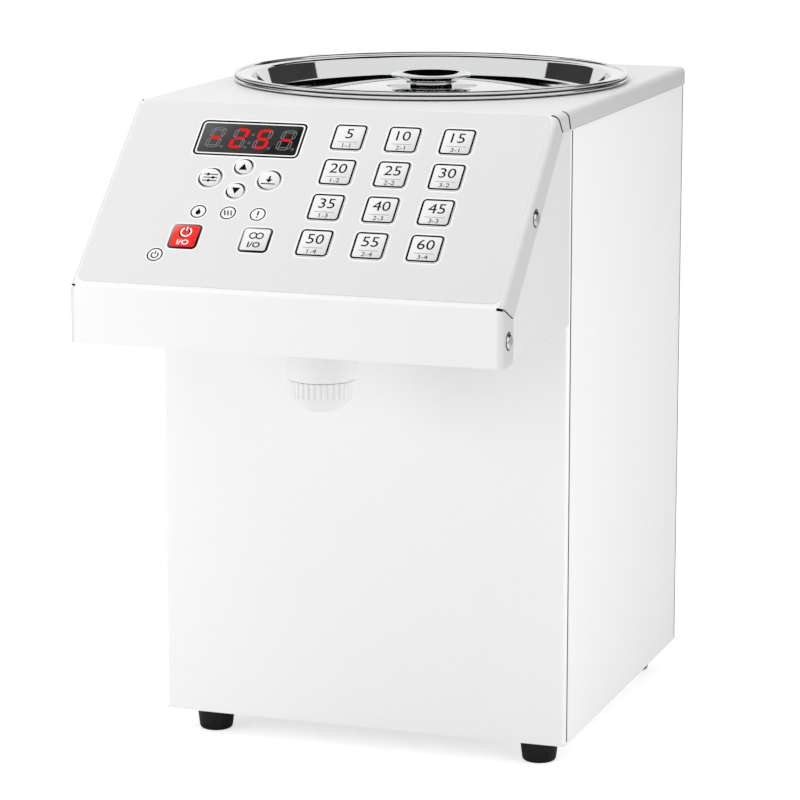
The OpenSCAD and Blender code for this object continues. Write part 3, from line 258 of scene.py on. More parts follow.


# The painted sheen of a number key's face, and of the red one.
key_face_painted_sheen = shaded("printed_key_face", [(0.0, "#F8F8F8"), (0.5, "#ECECEC"), (1.0, "#CFCFCF")], 0.4, gloss=0.3)
red_face_painted_sheen = shaded("red_key_top_with_painted_sheen", [(0.0, "#FF8A80"), (0.28, "#FB3A32"), (1.0, "#F30D0A")], 0.4, gloss=0.2)
# The rims of the two large keys run from grey to black: a painted highlight at the upper left that fades into
# painted shade.
rim_highlight_stops = [(0.0, "#A9A9A9"), (0.4, "#5A5A5A"), (0.75, "#0C0C0C")]
dark_rim_painted_highlight = shaded("dark_rim_with_painted_highlight", rim_highlight_stops, 0.5, gloss=0.15)
# The window darkens to the right, with a step where the glare ends: a painted reflection on the smoked
# acrylic.
smoked_glare_stops = [(0.0, "#707070"), (0.4, "#3C3C3C"), (0.66, "#2E2E2E"), (0.68, "#161616")]
smoked_with_painted_glare = shaded("smoked_acrylic_painted_glare", smoked_glare_stops, 0.3, gloss=0.2)
# The cover's coat is the panels' coat, painted a shade greyer down its folded flanks: painted shade.
cover_coat_painted_shade = shaded("cover_powder_coat_painted_flank_shade", [(0.0, "#F6F6F6"), (1.0, "#C8C8C8")], 0.42, 1.5, 0.006)
print("gradients are ready")

# %% Lit and unlit display segments
lit_segment = grained("lit_red_segment", "#7A0604", "#6A0503", 0.6, 0.001, 0.5, gloss=0.1)
lit_shader = lit_segment.node_tree.nodes["Principled BSDF"]
lit_shader.inputs["Emission Color"].default_value = linear("#D81210")
lit_shader.inputs["Emission Strength"].default_value = 1.0
unlit_segment = grained("unlit_grey_segment", "#8C8C8C", "#848484", 0.6, 0.001, 0.5, gloss=0.1)
print("display finishes are ready")

# %% [markdown]
# ## How a piece becomes an object
# Each piece is a bmesh drawn in millimetres round its own middle. One function places it, turns it into
# a mesh with its materials and hangs it on the body it moves with.


# %% From a bmesh to a piece of the model
def add_piece(name, bm, body, materials, place=Matrix(), sharp=35.0):
    """Places a bmesh, makes it an object and gives it to a body. Edges steeper than sharp stay crisp."""
    bmesh.ops.transform(bm, matrix=Matrix.Scale(MM, 4) @ place, verts=bm.verts)
    mesh = bpy.data.meshes.new(name)
    bm.to_mesh(mesh)
    bm.free()
    for material in materials:
        mesh.materials.append(material)
    mesh.shade_smooth()
    mesh.set_sharp_from_angle(angle=math.radians(sharp))
    piece = new_object(name, mesh)
    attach(piece, body)
    return piece


def close(bm):
    """Welds the points that meet and turns every face of a closed shape outwards."""
    bmesh.ops.remove_doubles(bm, verts=bm.verts, dist=0.0005)
    bmesh.ops.recalc_face_normals(bm, faces=bm.faces)


def put_into(bm, part, place=Matrix()):
    """Adds a placed part to a bmesh. The part itself is used up."""
    bmesh.ops.transform(part, matrix=place, verts=part.verts)
    mesh = bpy.data.meshes.new("part")
    part.to_mesh(mesh)
    part.free()
    bm.from_mesh(mesh)
    bpy.data.meshes.remove(mesh)


def write_shade(piece, rule):
    """Writes a number from 0 to 1 for each point, which a rule works out from its place."""
    level = piece.data.attributes.new("shade", "FLOAT", "POINT")
    for v, item in zip(piece.data.vertices, level.data):
        item.value = rule(v.co)


print("ready to place pieces")


# %% Short names for four modelling steps
def bevel(bm, geom, offset, segments, affect="EDGES"):
    """Rounds edges, or the corners of a flat face."""
    bmesh.ops.bevel(bm, geom=geom, offset=offset, offset_type="OFFSET", affect=affect,
                    segments=segments, profile=0.5, material=-1)


def sweep(bm, geom, centre, axis, angle, steps, merge=False):
    """Spins points and edges round an axis."""
    bmesh.ops.spin(bm, geom=geom, cent=centre, axis=axis, dvec=(0, 0, 0), angle=angle, steps=steps,
                   use_merge=merge, use_duplicate=False)


def draw_out(bm, edges):
    """Extrudes edges on the spot, and gives the new points and the new edges."""
    made = bmesh.ops.extrude_edge_only(bm, edges=edges)["geom"]
    return ([g for g in made if isinstance(g, bmesh.types.BMVert)],
            [g for g in made if isinstance(g, bmesh.types.BMEdge)])


def to_circle(v, radius, height):
    """Moves a point straight in or out to a radius, and to a height."""
    flat = v.co.xy.normalized() * radius
    v.co = Vector((flat.x, flat.y, height))


# %% Shapes that several pieces start from
def arc(x, z, r, start, end, steps=6):
    """Points of an arc round (x, z), from one angle to another in degrees."""
    angles = [math.radians(start + (end - start) * i / steps) for i in range(steps + 1)]
    return [(x + r * math.cos(a), z + r * math.sin(a)) for a in angles]


def spun(points, steps=96, closed=False):
    """Turns a profile of (radius, height) points about Z. A closed profile gives a ring."""
    bm = bmesh.new()
    verts = [bm.verts.new((r, 0, z)) for r, z in points]
    pairs = list(zip(verts, verts[1:])) + ([(verts[-1], verts[0])] if closed else [])
    edges = [bm.edges.new(pair) for pair in pairs]
    sweep(bm, verts + edges, (0, 0, 0), (0, 0, 1), math.tau, steps, merge=True)
    close(bm)
    return bm


def rectangle(width, length):
    """The corners of a rectangle round the middle, as (x, y)."""
    return [(x * width / 2, y * length / 2) for x, y in ((-1, -1), (1, -1), (1, 1), (-1, 1))]


def rounded_face(bm, width, length, radius, at=(0, 0), z=0.0):
    """A flat face with round corners."""
    corners = [bm.verts.new((at[0] + x, at[1] + y, z)) for x, y in rectangle(width, length)]
    old = set(bm.faces)
    bm.faces.new(corners)
    bevel(bm, corners, radius, 6, "VERTICES")
    return [f for f in bm.faces if f not in old][0]


def round_face(bm, radius, at=(0, 0), z=0.0, segments=48):
    """A flat round face."""
    old = set(bm.faces)
    bmesh.ops.create_circle(bm, cap_ends=True, segments=segments, radius=radius,
                            matrix=Matrix.Translation((at[0], at[1], z)))
    return [f for f in bm.faces if f not in old][0]


def raise_face(bm, faces, height, material=0):
    """Extrudes flat faces straight up into a closed plate."""
    made = bmesh.ops.extrude_face_region(bm, geom=faces)["geom"]
    top = [g for g in made if isinstance(g, bmesh.types.BMFace)]
    verts = [g for g in made if isinstance(g, bmesh.types.BMVert)]
    bmesh.ops.translate(bm, vec=(0, 0, height), verts=verts)
    for face in top:
        face.material_index = material
    return top


# %% Prints: rings, bars, arrows and digits in a thin layer of ink
PRINT = 0.03


def print_faces(bm, faces, material):
    """Raises flat faces into a layer of ink, sides and all."""
    for f in faces:
        f.material_index = material
    top = raise_face(bm, faces, PRINT, material)
    for f in {f for t in top for e in t.edges for f in e.link_faces}:
        f.material_index = material


def ring(bm, face, line, material=0):
    """Turns a flat face into a printed outline of a line width, measured inwards from its edge."""
    rim = bmesh.ops.inset_region(bm, faces=[face], thickness=line, use_boundary=True,
                                 use_even_offset=True)["faces"]
    bmesh.ops.delete(bm, geom=[face], context="FACES")
    print_faces(bm, rim, material)


def flat_shape(bm, points, at, z, material):
    """A printed polygon."""
    print_faces(bm, [bm.faces.new([bm.verts.new((at[0] + x, at[1] + y, z)) for x, y in points])], material)


def bar(bm, width, length, at, z, material, turn=0.0):
    """A printed bar, turned by so many degrees."""
    c, s = math.cos(math.radians(turn)), math.sin(math.radians(turn))
    flat_shape(bm, [(x * c - y * s, x * s + y * c) for x, y in rectangle(width, length)], at, z, material)


def triangle(bm, width, height, at, z, material, down=False):
    """A printed arrow head."""
    k = -1 if down else 1
    corners = [(-width / 2, -k * height / 2), (width / 2, -k * height / 2), (0, k * height / 2)]
    flat_shape(bm, corners[::k], at, z, material)


def broken_ring(bm, radius, line, opening, at, z, material):
    """A printed ring with an opening at its top, in degrees."""
    start = Matrix.Rotation(math.radians(90 + opening / 2), 4, "Z")
    centre = Vector((at[0], at[1], z))
    ends = [bm.verts.new(centre + start @ Vector((r, 0, 0))) for r in (radius - line, radius)]
    edge = bm.edges.new(ends)
    old = set(bm.faces)
    sweep(bm, ends + [edge], centre, (0, 0, 1), math.radians(360 - opening), 40)
    print_faces(bm, [f for f in bm.faces if f not in old], material)


def digits(bm, text, height, at, z, material, wide=1.0, bold=0.0):
    """Prints a number of a given height, centred on a point. The built-in font gives its outlines.

    Bold widens the strokes, and has to be 0 where there is a 4, whose opening it would close.
    """
    curve = bpy.data.curves.new("digits", "FONT")
    curve.body, curve.extrude, curve.resolution_u, curve.offset = text, 0.01, 3, bold
    holder = new_object("digits", curve)
    mesh = bpy.data.meshes.new_from_object(holder.evaluated_get(bpy.context.evaluated_depsgraph_get()))
    bpy.data.objects.remove(holder)
    low = Vector([min(v.co[i] for v in mesh.vertices) for i in range(3)])
    high = Vector([max(v.co[i] for v in mesh.vertices) for i in range(3)])
    k = height / (high.y - low.y)
    mesh.transform(Matrix.Translation((at[0], at[1], z + PRINT / 2))
                   @ Matrix.Diagonal((k * wide, k, PRINT / (high.z - low.z), 1))
                   @ Matrix.Translation(-(low + high) / 2))
    for polygon in mesh.polygons:
        polygon.material_index = material
    bm.from_mesh(mesh)
    bpy.data.meshes.remove(mesh)


print("shapes and prints are ready")

# %% [markdown]
# ## The cover
# The cover is one sheet of steel, a millimetre thick, folded down at the lip, along the slope, along
# the top and at the back. Its folds are what the light draws, so it is modelled as the sheet-metal
# worker makes it: a strip with two creases, then each side edge is spun a quarter turn about the fold's
# axis and drawn out into a flange. Solidify gives the sheet its thickness inwards.


# %% The folded strip and its openings
def loop_of(bm, face):
    """The edges of a face, which is taken away."""
    edges = list(face.edges)
    bmesh.ops.delete(bm, geom=[face], context="FACES_ONLY")
    return edges


def refill(bm, face, loops):
    """Makes a face again, with holes where the loops are."""
    edges = loop_of(bm, face) + loops
    bmesh.ops.triangle_fill(bm, use_beauty=True, use_dissolve=False, edges=edges)


INNER_X, CREASE = FLANGE_X - FOLD, 0.9
cover = bmesh.new()
profile = [(BACK_Y - FOLD, TOP_Z), (SLOPE_TOP_Y, TOP_Z), (LIP_Y, SLOPE_FOOT_Z), (LIP_Y, LIP_Z)]
verts = [cover.verts.new((-INNER_X, y, z)) for y, z in profile]
edges = [cover.edges.new(pair) for pair in zip(verts, verts[1:])]
bmesh.ops.translate(cover, vec=(2 * INNER_X, 0, 0), verts=draw_out(cover, edges)[0])
creases = [e for e in cover.edges if len(e.link_faces) == 2]
bevel(cover, creases, CREASE, 5)
print("strip:", len(cover.faces), "faces after", len(creases), "creases")


# %% Side folds and flanges
FOLD_STEPS = 7


def fold_down(bm, edge, centre, axis, drop, lean_low, lean_high, low_end):
    """Spins a side edge a quarter turn round a fold's axis, draws it out by drop, and leans its ends.

    lean_low and lean_high say how far the ends move along the edge per millimetre of depth.
    """
    low = min(edge.verts, key=lambda v: (v.co - Vector(low_end)).length)
    high = edge.other_vert(low)
    along, start, span = (high.co - low.co).normalized(), low.co.copy(), (high.co - low.co).length
    old = set(bm.verts)
    sweep(bm, [low, high, edge], centre, axis, math.radians(90), FOLD_STEPS)
    new = [v for v in bm.verts if v not in old]
    last = sorted(new, key=lambda v: -abs(v.co.x))[:2]
    rim = [e for e in last[0].link_edges if e.other_vert(last[0]) == last[1]][0]
    end = draw_out(bm, [rim])[0]
    bmesh.ops.translate(bm, vec=drop, verts=end)
    inward = Vector(drop).normalized()
    for v in new + end:
        depth = (v.co - start).dot(inward)
        near_low = (v.co - start).dot(along) < span / 2
        v.co += along * (lean_low if near_low else lean_high) * depth
    return end


def side_edge(bm, x, y_range, z_range):
    """The longest edge at one side of the strip whose middle lies in a box of (y, z)."""
    found = [e for e in bm.edges if all(abs(v.co.x - x) < 0.01 for v in e.verts)
             and y_range[0] < (e.verts[0].co.y + e.verts[1].co.y) / 2 < y_range[1]
             and z_range[0] < (e.verts[0].co.z + e.verts[1].co.z) / 2 < z_range[1]]
    return max(found, key=lambda e: e.calc_length())


down_slope = Vector((0, -math.cos(slope_angle), -math.sin(slope_angle)))
into_slope = Vector((0, math.sin(slope_angle), -math.cos(slope_angle)))
miter = math.radians(45) - slope_angle / 2
print("miter between slope and lip:", round(math.degrees(miter), 2), "degrees")

# %% Fold the slope's and the lip's sides
FLANGE, FLANGE_TOP, FLANGE_ROUND = 21.0, 17.0, 5.0
for side in (-1, 1):
    x = side * INNER_X
    slope_edge = side_edge(cover, x, (LIP_Y, SLOPE_TOP_Y), (SLOPE_FOOT_Z, TOP_Z))
    middle = (slope_edge.verts[0].co + slope_edge.verts[1].co) / 2
    end = fold_down(cover, slope_edge, middle + into_slope * FOLD, -down_slope * side,
                    into_slope * (FLANGE_TOP - FOLD), math.tan(miter), 0.0, (x, LIP_Y, SLOPE_FOOT_Z))
    foot = min(end, key=lambda v: v.co.z)
    foot.co = Vector((side * FLANGE_X, LIP_Y + FLANGE, SLOPE_FOOT_Z - FLANGE * math.tan(miter) + SEAM / 2))
    lip_edge = side_edge(cover, x, (LIP_Y - 1, LIP_Y + 1), (LIP_Z, SLOPE_FOOT_Z))
    middle = (lip_edge.verts[0].co + lip_edge.verts[1].co) / 2
    end = fold_down(cover, lip_edge, middle + Vector((0, FOLD, 0)), Vector((0, 0, side)),
                    Vector((0, FLANGE - FOLD, 0)), 0.0, -math.tan(miter), (x, LIP_Y, LIP_Z))
    corner = min(end, key=lambda v: v.co.z)
    bevel(cover, [corner], FLANGE_ROUND, 6, "VERTICES")
print("flanges reach x =", round(max(v.co.x for v in cover.verts), 2), "mm")

# %% Fold the top's sides and back
SKIRT, SLIT, SLIT_BACK, SLIT_LEAN = 11.5, 2.4, 9.0, (9.0 - 3.2) / 11.5
slit_y = FRONT_Y - SLIT_BACK


def cut_at(edge, y):
    """Cuts an edge that runs along Y, and gives its front part and its rear part."""
    front = min(edge.verts, key=lambda v: v.co.y)
    share = (y - front.co.y) / (edge.other_vert(front).co.y - front.co.y)
    point = bmesh.utils.edge_split(edge, front, share)[1]
    return sorted(point.link_edges, key=lambda e: e.verts[0].co.y + e.verts[1].co.y)


for side in (-1, 1):
    x = side * INNER_X
    whole = side_edge(cover, x, (0, BACK_Y), (TOP_Z - 1, TOP_Z + 1))
    rest = cut_at(whole, SLOPE_TOP_Y + SLIT / 2)[1]
    tab, rest = cut_at(rest, slit_y - SLIT / 2)
    rest = cut_at(rest, slit_y + SLIT / 2)[1]
    for edge, leans in ((tab, (math.tan(slope_angle), SLIT_LEAN)), (rest, (SLIT_LEAN, 0.0))):
        near = min((v.co for v in edge.verts), key=lambda c: c.y).copy()
        fold_down(cover, edge, (x, 0, TOP_Z - FOLD), (0, side, 0),
                  Vector((0, 0, FOLD - SKIRT)), leans[0], leans[1], near)
print("skirt reaches down to", round(TOP_Z - SKIRT, 1), "mm")

# %% Fold the back and turn its two corners
rear_edge = [e for e in cover.edges if all(abs(v.co.y - BACK_Y + FOLD) < 0.01 for v in e.verts)
             and e.calc_length() > INNER_X]
fold_down(cover, rear_edge[0], (0, BACK_Y - FOLD, TOP_Z - FOLD), (-1, 0, 0),
          Vector((0, 0, FOLD - SKIRT)), 0.0, 0.0, (-INNER_X, BACK_Y - FOLD, TOP_Z))
for side in (-1, 1):
    ends = [e for e in cover.edges if all(abs(v.co.y - BACK_Y + FOLD) < 0.01 for v in e.verts)
            and (e.verts[0].co.x + e.verts[1].co.x) / 2 * side > INNER_X + 0.001]
    sweep(cover, ends + list({v for e in ends for v in e.verts}), (side * INNER_X, BACK_Y - FOLD, 0),
          (0, 0, side), math.radians(90), FOLD_STEPS)
print("cover is", round(max(v.co.y for v in cover.verts) - LIP_Y, 1), "mm deep")

# %% Where the keys and lenses are
COLUMNS, ROWS = (9.9, 44.15, 78.4), (24.5, 51.7, 78.9, 106.1)
ARROW_X, ARROW_S, SET_STEP = -50.3, 60.3, 19.0
key_places = {f"key_{5 * (3 * row + column + 1)}": (COLUMNS[column], ROWS[row])
              for row in range(4) for column in range(3)}
key_places.update({
    "key_set": (ARROW_X - SET_STEP, ARROW_S), "key_save": (ARROW_X + SET_STEP, ARROW_S),
    "key_up": (ARROW_X, ARROW_S - 9.4), "key_down": (ARROW_X, ARROW_S + 9.4),
    "key_power": (-72.3, ROWS[3]), "key_continuous": (-27.3, ROWS[3])})
lens_places = [(ARROW_X - 19, 86.6), (ARROW_X, 86.6), (ARROW_X + 19, 86.6), (-87.2, 120.9)]
DISPLAY = (-52.5, 28.7)
print(len(key_places), "keys and", len(lens_places), "lenses")

# %% Open the cover for the tank, the window and the stems
TANK_HOLE_R, STEM_HOLE_R, LENS_HOLE_R, DISPLAY_HOLE = 119.5, 2.2, 2.6, (59.0, 17.8)
top_face = max(cover.faces, key=lambda f: f.calc_area() if f.normal.z ** 2 > 0.98 else 0)
refill(cover, top_face, loop_of(cover, round_face(cover, TANK_HOLE_R, (0, TANK_Y), TOP_Z, 96)))
slope_face = max(cover.faces, key=lambda f: f.calc_area() if 0.3 < f.normal.z ** 2 < 0.8 else 0)
sheet = bmesh.new()
rounded_face(sheet, DISPLAY_HOLE[0], DISPLAY_HOLE[1], 1.0, (DISPLAY[0], -DISPLAY[1]))
for radius, places in ((STEM_HOLE_R, key_places.values()), (LENS_HOLE_R, lens_places)):
    for x, s in places:
        round_face(sheet, radius, (x, -s), 0, 16)
bmesh.ops.delete(sheet, geom=list(sheet.faces), context="FACES_ONLY")
old_edges = set(cover.edges)
put_into(cover, sheet, on_slope())
refill(cover, slope_face, [e for e in cover.edges if e not in old_edges])
print("cover has", len(cover.faces), "faces")

# %% Give the cover its thickness
bmesh.ops.remove_doubles(cover, verts=cover.verts, dist=0.001)
bmesh.ops.recalc_face_normals(cover, faces=cover.faces)
if max(cover.faces, key=lambda f: f.calc_center_median().z).normal.z < 0:
    bmesh.ops.reverse_faces(cover, faces=cover.faces)
cover_piece = add_piece("folded_cover", cover, "case", [cover_coat_painted_shade, cut_edge_painted_shade], sharp=30)
# The painted shade of the flanks: 0 on the top and the slope, 1 once the fold has turned.
write_shade(cover_piece, lambda co: min(1.0, max(0.0, abs(co.x) / MM - INNER_X) / FOLD))
wall = cover_piece.modifiers.new("sheet", "SOLIDIFY")
# The sheet's rims take the near black edge, partly bare steel and partly painted shade in the slits.
wall.thickness, wall.offset, wall.use_even_offset, wall.material_offset_rim = 1.0 * MM, -1.0, True, 1
# The flat faces are far larger than the folds between them, and they should look flat.
flat = cover_piece.modifiers.new("flat faces", "WEIGHTED_NORMAL")
flat.mode, flat.weight, flat.keep_sharp = "FACE_AREA", 100, True
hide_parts("top_cover")
print("cover piece:", len(cover_piece.data.polygons), "faces before its thickness")

# %% [markdown]
# ## Seams and their painted shade
# Where the panels meet, a dark strip stands for the shade in the seam's gap: painted shade, which draws the
# thin upright lines on the case. Each strip is a flat face that is raised by a tenth of a millimetre.

# %% Strips of painted seam shade
STRIP_W, STRIP_OUT, RETURN = 1.8, 0.1, 3.5
SKIRT_LOW = TOP_Z - SKIRT


def seam_shadow_strip(bm, side, height, depth, y, z):
    """A dark strip of painted shade, of a height and a depth, round a point of a side panel."""
    sheet = bmesh.new()
    raise_face(sheet, [rounded_face(sheet, height, depth, 0.15)], STRIP_OUT)
    put_into(bm, sheet, Matrix.Translation((side * SIDE_X, y, z)) @ sideways(side))


seam_shadow_bm = bmesh.new()
for side in (-1, 1):
    for y, width in ((FRONT_Y + RETURN + SEAM / 2, STRIP_W), (BACK_Y - 1 - RETURN - SEAM / 2, 0.6 * STRIP_W)):
        seam_shadow_strip(seam_shadow_bm, side, SKIRT_LOW - PAN_Z - 2, width, y, (PAN_Z + SKIRT_LOW) / 2)
    # A long strip just under the skirt is the painted shade below its edge.
    seam_shadow_strip(seam_shadow_bm, side, 0.5, BACK_Y - FRONT_Y - 10, (BACK_Y + FRONT_Y) / 2, SKIRT_LOW - 0.3)
close(seam_shadow_bm)
seam_shadow_piece = add_piece("painted_seam_shadows", seam_shadow_bm, "case", [seam_shadow_dark])
print("seam beads:", len(seam_shadow_piece.data.polygons), "faces")

# %% [markdown]
# ## The printed overlay
# A polyester film is glued on the slope, with round-cornered windows for the keys, the lenses and the
# display. The film is one face with holes, which is filled between its outlines and then raised to its
# thickness. The outlines round the display, the keys and the lenses are ink, raised by a few hundredths.

# %% Outlines of the keys
KEY_W, KEY_L, MODE_W, SET_R, ARROW_R = 20.5, 20.3, 18.4, 7.6, 6.15
ROUND_KEYS = {"key_up": ARROW_R, "key_down": ARROW_R, "key_set": SET_R, "key_save": SET_R}
MODE_KEYS = ("key_power", "key_continuous")


def key_face_at(bm, name, grow, corner, at=(0, 0), z=0.0):
    """A flat face in a key's outline, grown all round. Square outlines have round corners."""
    if name in ROUND_KEYS:
        return round_face(bm, ROUND_KEYS[name] + grow, at, z)
    width, length = (MODE_W, MODE_W) if name in MODE_KEYS else (KEY_W, KEY_L)
    return rounded_face(bm, width + 2 * grow, length + 2 * grow, corner, at, z)


print(len(key_places) - len(ROUND_KEYS), "square keys and", len(ROUND_KEYS), "round ones")

# %% The film and its windows
FILM, FILM_W, FILM_TOP, FILM_FOOT, GAP = 0.6, 263.0, 1.0, 3.5, 0.3
LENS_R, LENS_GAP, WINDOW_W, WINDOW_L = 5.0, 0.1, 63.4, 22.6
display_at = (DISPLAY[0], -DISPLAY[1])
film_length = slope_length - FILM_FOOT - FILM_TOP
film = bmesh.new()
rounded_face(film, FILM_W, film_length, 5.0, (0, -FILM_TOP - film_length / 2))
rounded_face(film, WINDOW_W + 2 * GAP, WINDOW_L + 2 * GAP, 1.6, display_at)
for name, (x, s) in key_places.items():
    key_face_at(film, name, GAP, 3.3, (x, -s))
for x, s in lens_places:
    round_face(film, LENS_R + LENS_GAP, (x, -s))
bmesh.ops.delete(film, geom=list(film.faces), context="FACES_ONLY")
bmesh.ops.triangle_fill(film, use_beauty=True, use_dissolve=False, edges=list(film.edges))
raise_face(film, list(film.faces), FILM)
close(film)
film_piece = add_piece("overlay_film", film, "case", [overlay_film], on_slope())
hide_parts("panel_overlay")
print("film:", len(film_piece.data.polygons), "faces")

# %% Ink on the film
BLACK, WHITE, HALO, LENS_HALO = 0, 1, 1.0, 0.8
DISPLAY_FRAMES = ((70.6, 29.8, 4.4, 1.0, WHITE), (68.5, 27.7, 3.6, 1.3, BLACK), (65.8, 25.0, 2.6, 0.9, WHITE))
ink = bmesh.new()
for width, length, corner, line, colour in DISPLAY_FRAMES:
    ring(ink, rounded_face(ink, width, length, corner, display_at, FILM), line, colour)
for name, (x, s) in key_places.items():
    ring(ink, key_face_at(ink, name, GAP + HALO, 4.3, (x, -s), FILM), HALO, WHITE)
for x, s in lens_places:
    ring(ink, round_face(ink, LENS_R + LENS_GAP + LENS_HALO, (x, -s), FILM), LENS_HALO, WHITE)
close(ink)
ink_piece = add_piece("overlay_ink", ink, "case", [ink_black, ink_white], on_slope())
print("ink:", len(ink_piece.data.polygons), "faces")

# %% [markdown]
# ## The keys
# A key is a moulded cap with a softly bevelled rim that stands half a millimetre out of the film, and a
# stem to its switch. Its outline, its number and the thin line under it are printed. Each key slides on
# its own, so each is a piece of its own, and its prints are part of it.

# %% Caps
CAP_LOW, CAP_TOP, STEM_END, STEM_R = 0.4, 1.1, -3.3, 1.8


def cap(name, corner, outline, rim=0.2):
    """Makes a key's cap: side, bevelled rim, printed outline and face, and the stem below."""
    bm = bmesh.new()
    top = raise_face(bm, [key_face_at(bm, name, 0, corner, z=CAP_LOW)], CAP_TOP - CAP_LOW)[0]
    bevel(bm, list(top.edges), rim, 2)
    top = max(bm.faces, key=lambda f: f.calc_center_median().z)
    band = bmesh.ops.inset_region(bm, faces=[top], thickness=outline, use_even_offset=True)["faces"]
    for f in bm.faces:
        f.material_index = 0
    for f in band:
        f.material_index = 1
    top.material_index = 2
    stem_middle = Matrix.Translation((0, 0, (CAP_LOW + STEM_END) / 2))
    bmesh.ops.create_cone(bm, cap_ends=True, segments=20, radius1=STEM_R, radius2=STEM_R,
                          depth=CAP_LOW - STEM_END, matrix=stem_middle)
    close(bm)
    return bm


def shade_across(piece, place, size):
    """Writes the number of a painted sheen or glare: 0 at the upper left and 1 at the lower right."""
    back = (Matrix.Scale(MM, 4) @ place).inverted()
    write_shade(piece, lambda co: 0.5 + ((back @ co).x - (back @ co).y) / (2 * size))


def finish_key(name, bm, materials, size):
    """Sets a key in its place on the slope, with its painted sheen."""
    place = on_slope(*key_places[name])
    key = add_piece(f"{name}_cap", bm, name, materials, place)
    shade_across(key, place, size)
    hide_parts(name)


print("cap stands", round(CAP_TOP - FILM, 2), "mm out of the film")

# %% The number keys
for name in key_places:
    if not name[4:].isdigit():
        continue
    row, column = divmod(int(name[4:]) // 5 - 1, 3)
    bm = cap(name, 2.8, 1.2)
    digits(bm, name[4:], 7.4, (0, 2.9), CAP_TOP, 3, wide=1.08)
    bar(bm, 12.4, 0.3, (0, -3.7), CAP_TOP, 4)
    digits(bm, f"{column + 1}-{row + 1}", 3.2, (0, -6.4), CAP_TOP, 3, wide=1.15)
    finish_key(name, bm, [key_plastic, ink_black, key_face_painted_sheen, ink_black, ink_grey], KEY_W)
print("number keys made")


# %% Round keys, their tapering outlines and their signs
def crescents(bm, radius, line, z, material):
    """Two printed arcs that taper out at the upper left and the lower right."""
    turn = Matrix.Rotation(math.radians(45), 4, "Z")
    squeeze = turn @ Matrix.Diagonal(((radius - line) / radius, 1.0 - 0.02 / radius, 1, 1)) @ turn.inverted()
    edges = []
    for shape in (Matrix(), squeeze):
        circle = bmesh.ops.create_circle(bm, cap_ends=False, segments=64, radius=radius,
                                         matrix=Matrix.Translation((0, 0, z)) @ shape)["verts"]
        edges += [e for v in circle for e in v.link_edges]
    print_faces(bm, bmesh.ops.bridge_loops(bm, edges=list(set(edges)))["faces"], material)


for name, radius in ROUND_KEYS.items():
    bm = cap(name, 0, 0.1)
    crescents(bm, radius - 0.2, 1.1, CAP_TOP, 3)
    if name in ("key_up", "key_down"):
        triangle(bm, 5.4, 4.9, (0, 0), CAP_TOP, 3, down=name == "key_down")
    elif name == "key_set":
        for y, knob in ((2.4, -1.8), (0, 1.9), (-2.4, -0.5)):
            bar(bm, 9.0, 0.7, (0, y), CAP_TOP, 3)
            bar(bm, 1.5, 1.9, (knob, y), CAP_TOP, 3)
    else:
        bar(bm, 9.0, 0.8, (0, -2.9), CAP_TOP, 3)
        bar(bm, 1.2, 3.2, (0, 1.5), CAP_TOP, 3)
        triangle(bm, 4.4, 2.6, (0, -0.7), CAP_TOP, 3, down=True)
    finish_key(name, bm, [key_plastic, key_face_painted_sheen, key_face_painted_sheen, ink_black], 2 * radius)
print("round keys made")


# %% Power and continuous keys
for name, slot, face_material in (("key_power", "red_key", red_face_painted_sheen),
                                  ("key_continuous", "grey_key", key_face_painted_sheen)):
    bm = cap(name, 2.6, 0.9, 0.25)
    if name == "key_power":
        # The black ring and bar, set lower and to the left under the white ones, are a painted drop shadow.
        broken_ring(bm, 3.8, 1.1, 60, (-0.5, 2.6), CAP_TOP, 4)
        bar(bm, 1.0, 3.2, (-0.5, 5.0), CAP_TOP, 4)
        broken_ring(bm, 3.7, 1.0, 60, (0.1, 3.1), CAP_TOP + PRINT, 3)
        bar(bm, 0.9, 3.2, (0.1, 5.6), CAP_TOP + PRINT, 3)
        digits(bm, "I/O", 3.8, (0, -4.6), CAP_TOP, 3, wide=1.15, bold=0.02)
    else:
        for x in (-2.1, 2.1):
            broken_ring(bm, 2.5, 0.8, 1, (x, 3.0), CAP_TOP, 4)
        digits(bm, "I/O", 4.2, (0, -3.8), CAP_TOP, 4, wide=1.1, bold=0.02)
    finish_key(name, bm, [dark_rim_painted_highlight, dark_rim_painted_highlight, face_material, ink_white, ink_black], MODE_W)
print("power and continuous keys made")

# %% [markdown]
# ## Indicator lenses
# Four small white discs light up from behind. On the real film each carries a word, which is left off:
# here they have plain signs for filling, heating, a fault and the mains, with a thin black outline.

# %% Indicator lenses
lenses, z = bmesh.new(), FILM + 0.05
for number, (x, s) in enumerate(lens_places):
    raise_face(lenses, [round_face(lenses, LENS_R, (x, -s))], z)
    ring(lenses, round_face(lenses, LENS_R - 0.05, (x, -s), z), 0.75, 1)
    if number == 0:
        triangle(lenses, 2.6, 2.9, (x, 1.2 - s), z, 1)
        raise_face(lenses, [round_face(lenses, 1.6, (x, -0.8 - s), z, 24)], PRINT, 1)
    elif number == 1:
        for step in (-2.0, 0, 2.0):
            bar(lenses, 0.8, 4.0, (x + step, -s), z, 1, turn=18)
    elif number == 2:
        bar(lenses, 1.0, 3.2, (x, 0.9 - s), z, 1)
        bar(lenses, 1.0, 1.0, (x, -2.1 - s), z, 1)
    else:
        broken_ring(lenses, 2.5, 0.75, 70, (x, -s - 0.2), z, 1)
        bar(lenses, 0.7, 2.4, (x, 1.5 - s), z, 1)
close(lenses)
lens_white = grained("diffusing_white_lens", "#F6F6F6", "#F3F3F3", 0.6, 0.001, 0.35)
lens_piece = add_piece("indicator_discs", lenses, "case", [lens_white, ink_black], on_slope())
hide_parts("indicator_lenses")
print("lenses:", len(lens_piece.data.polygons), "faces")

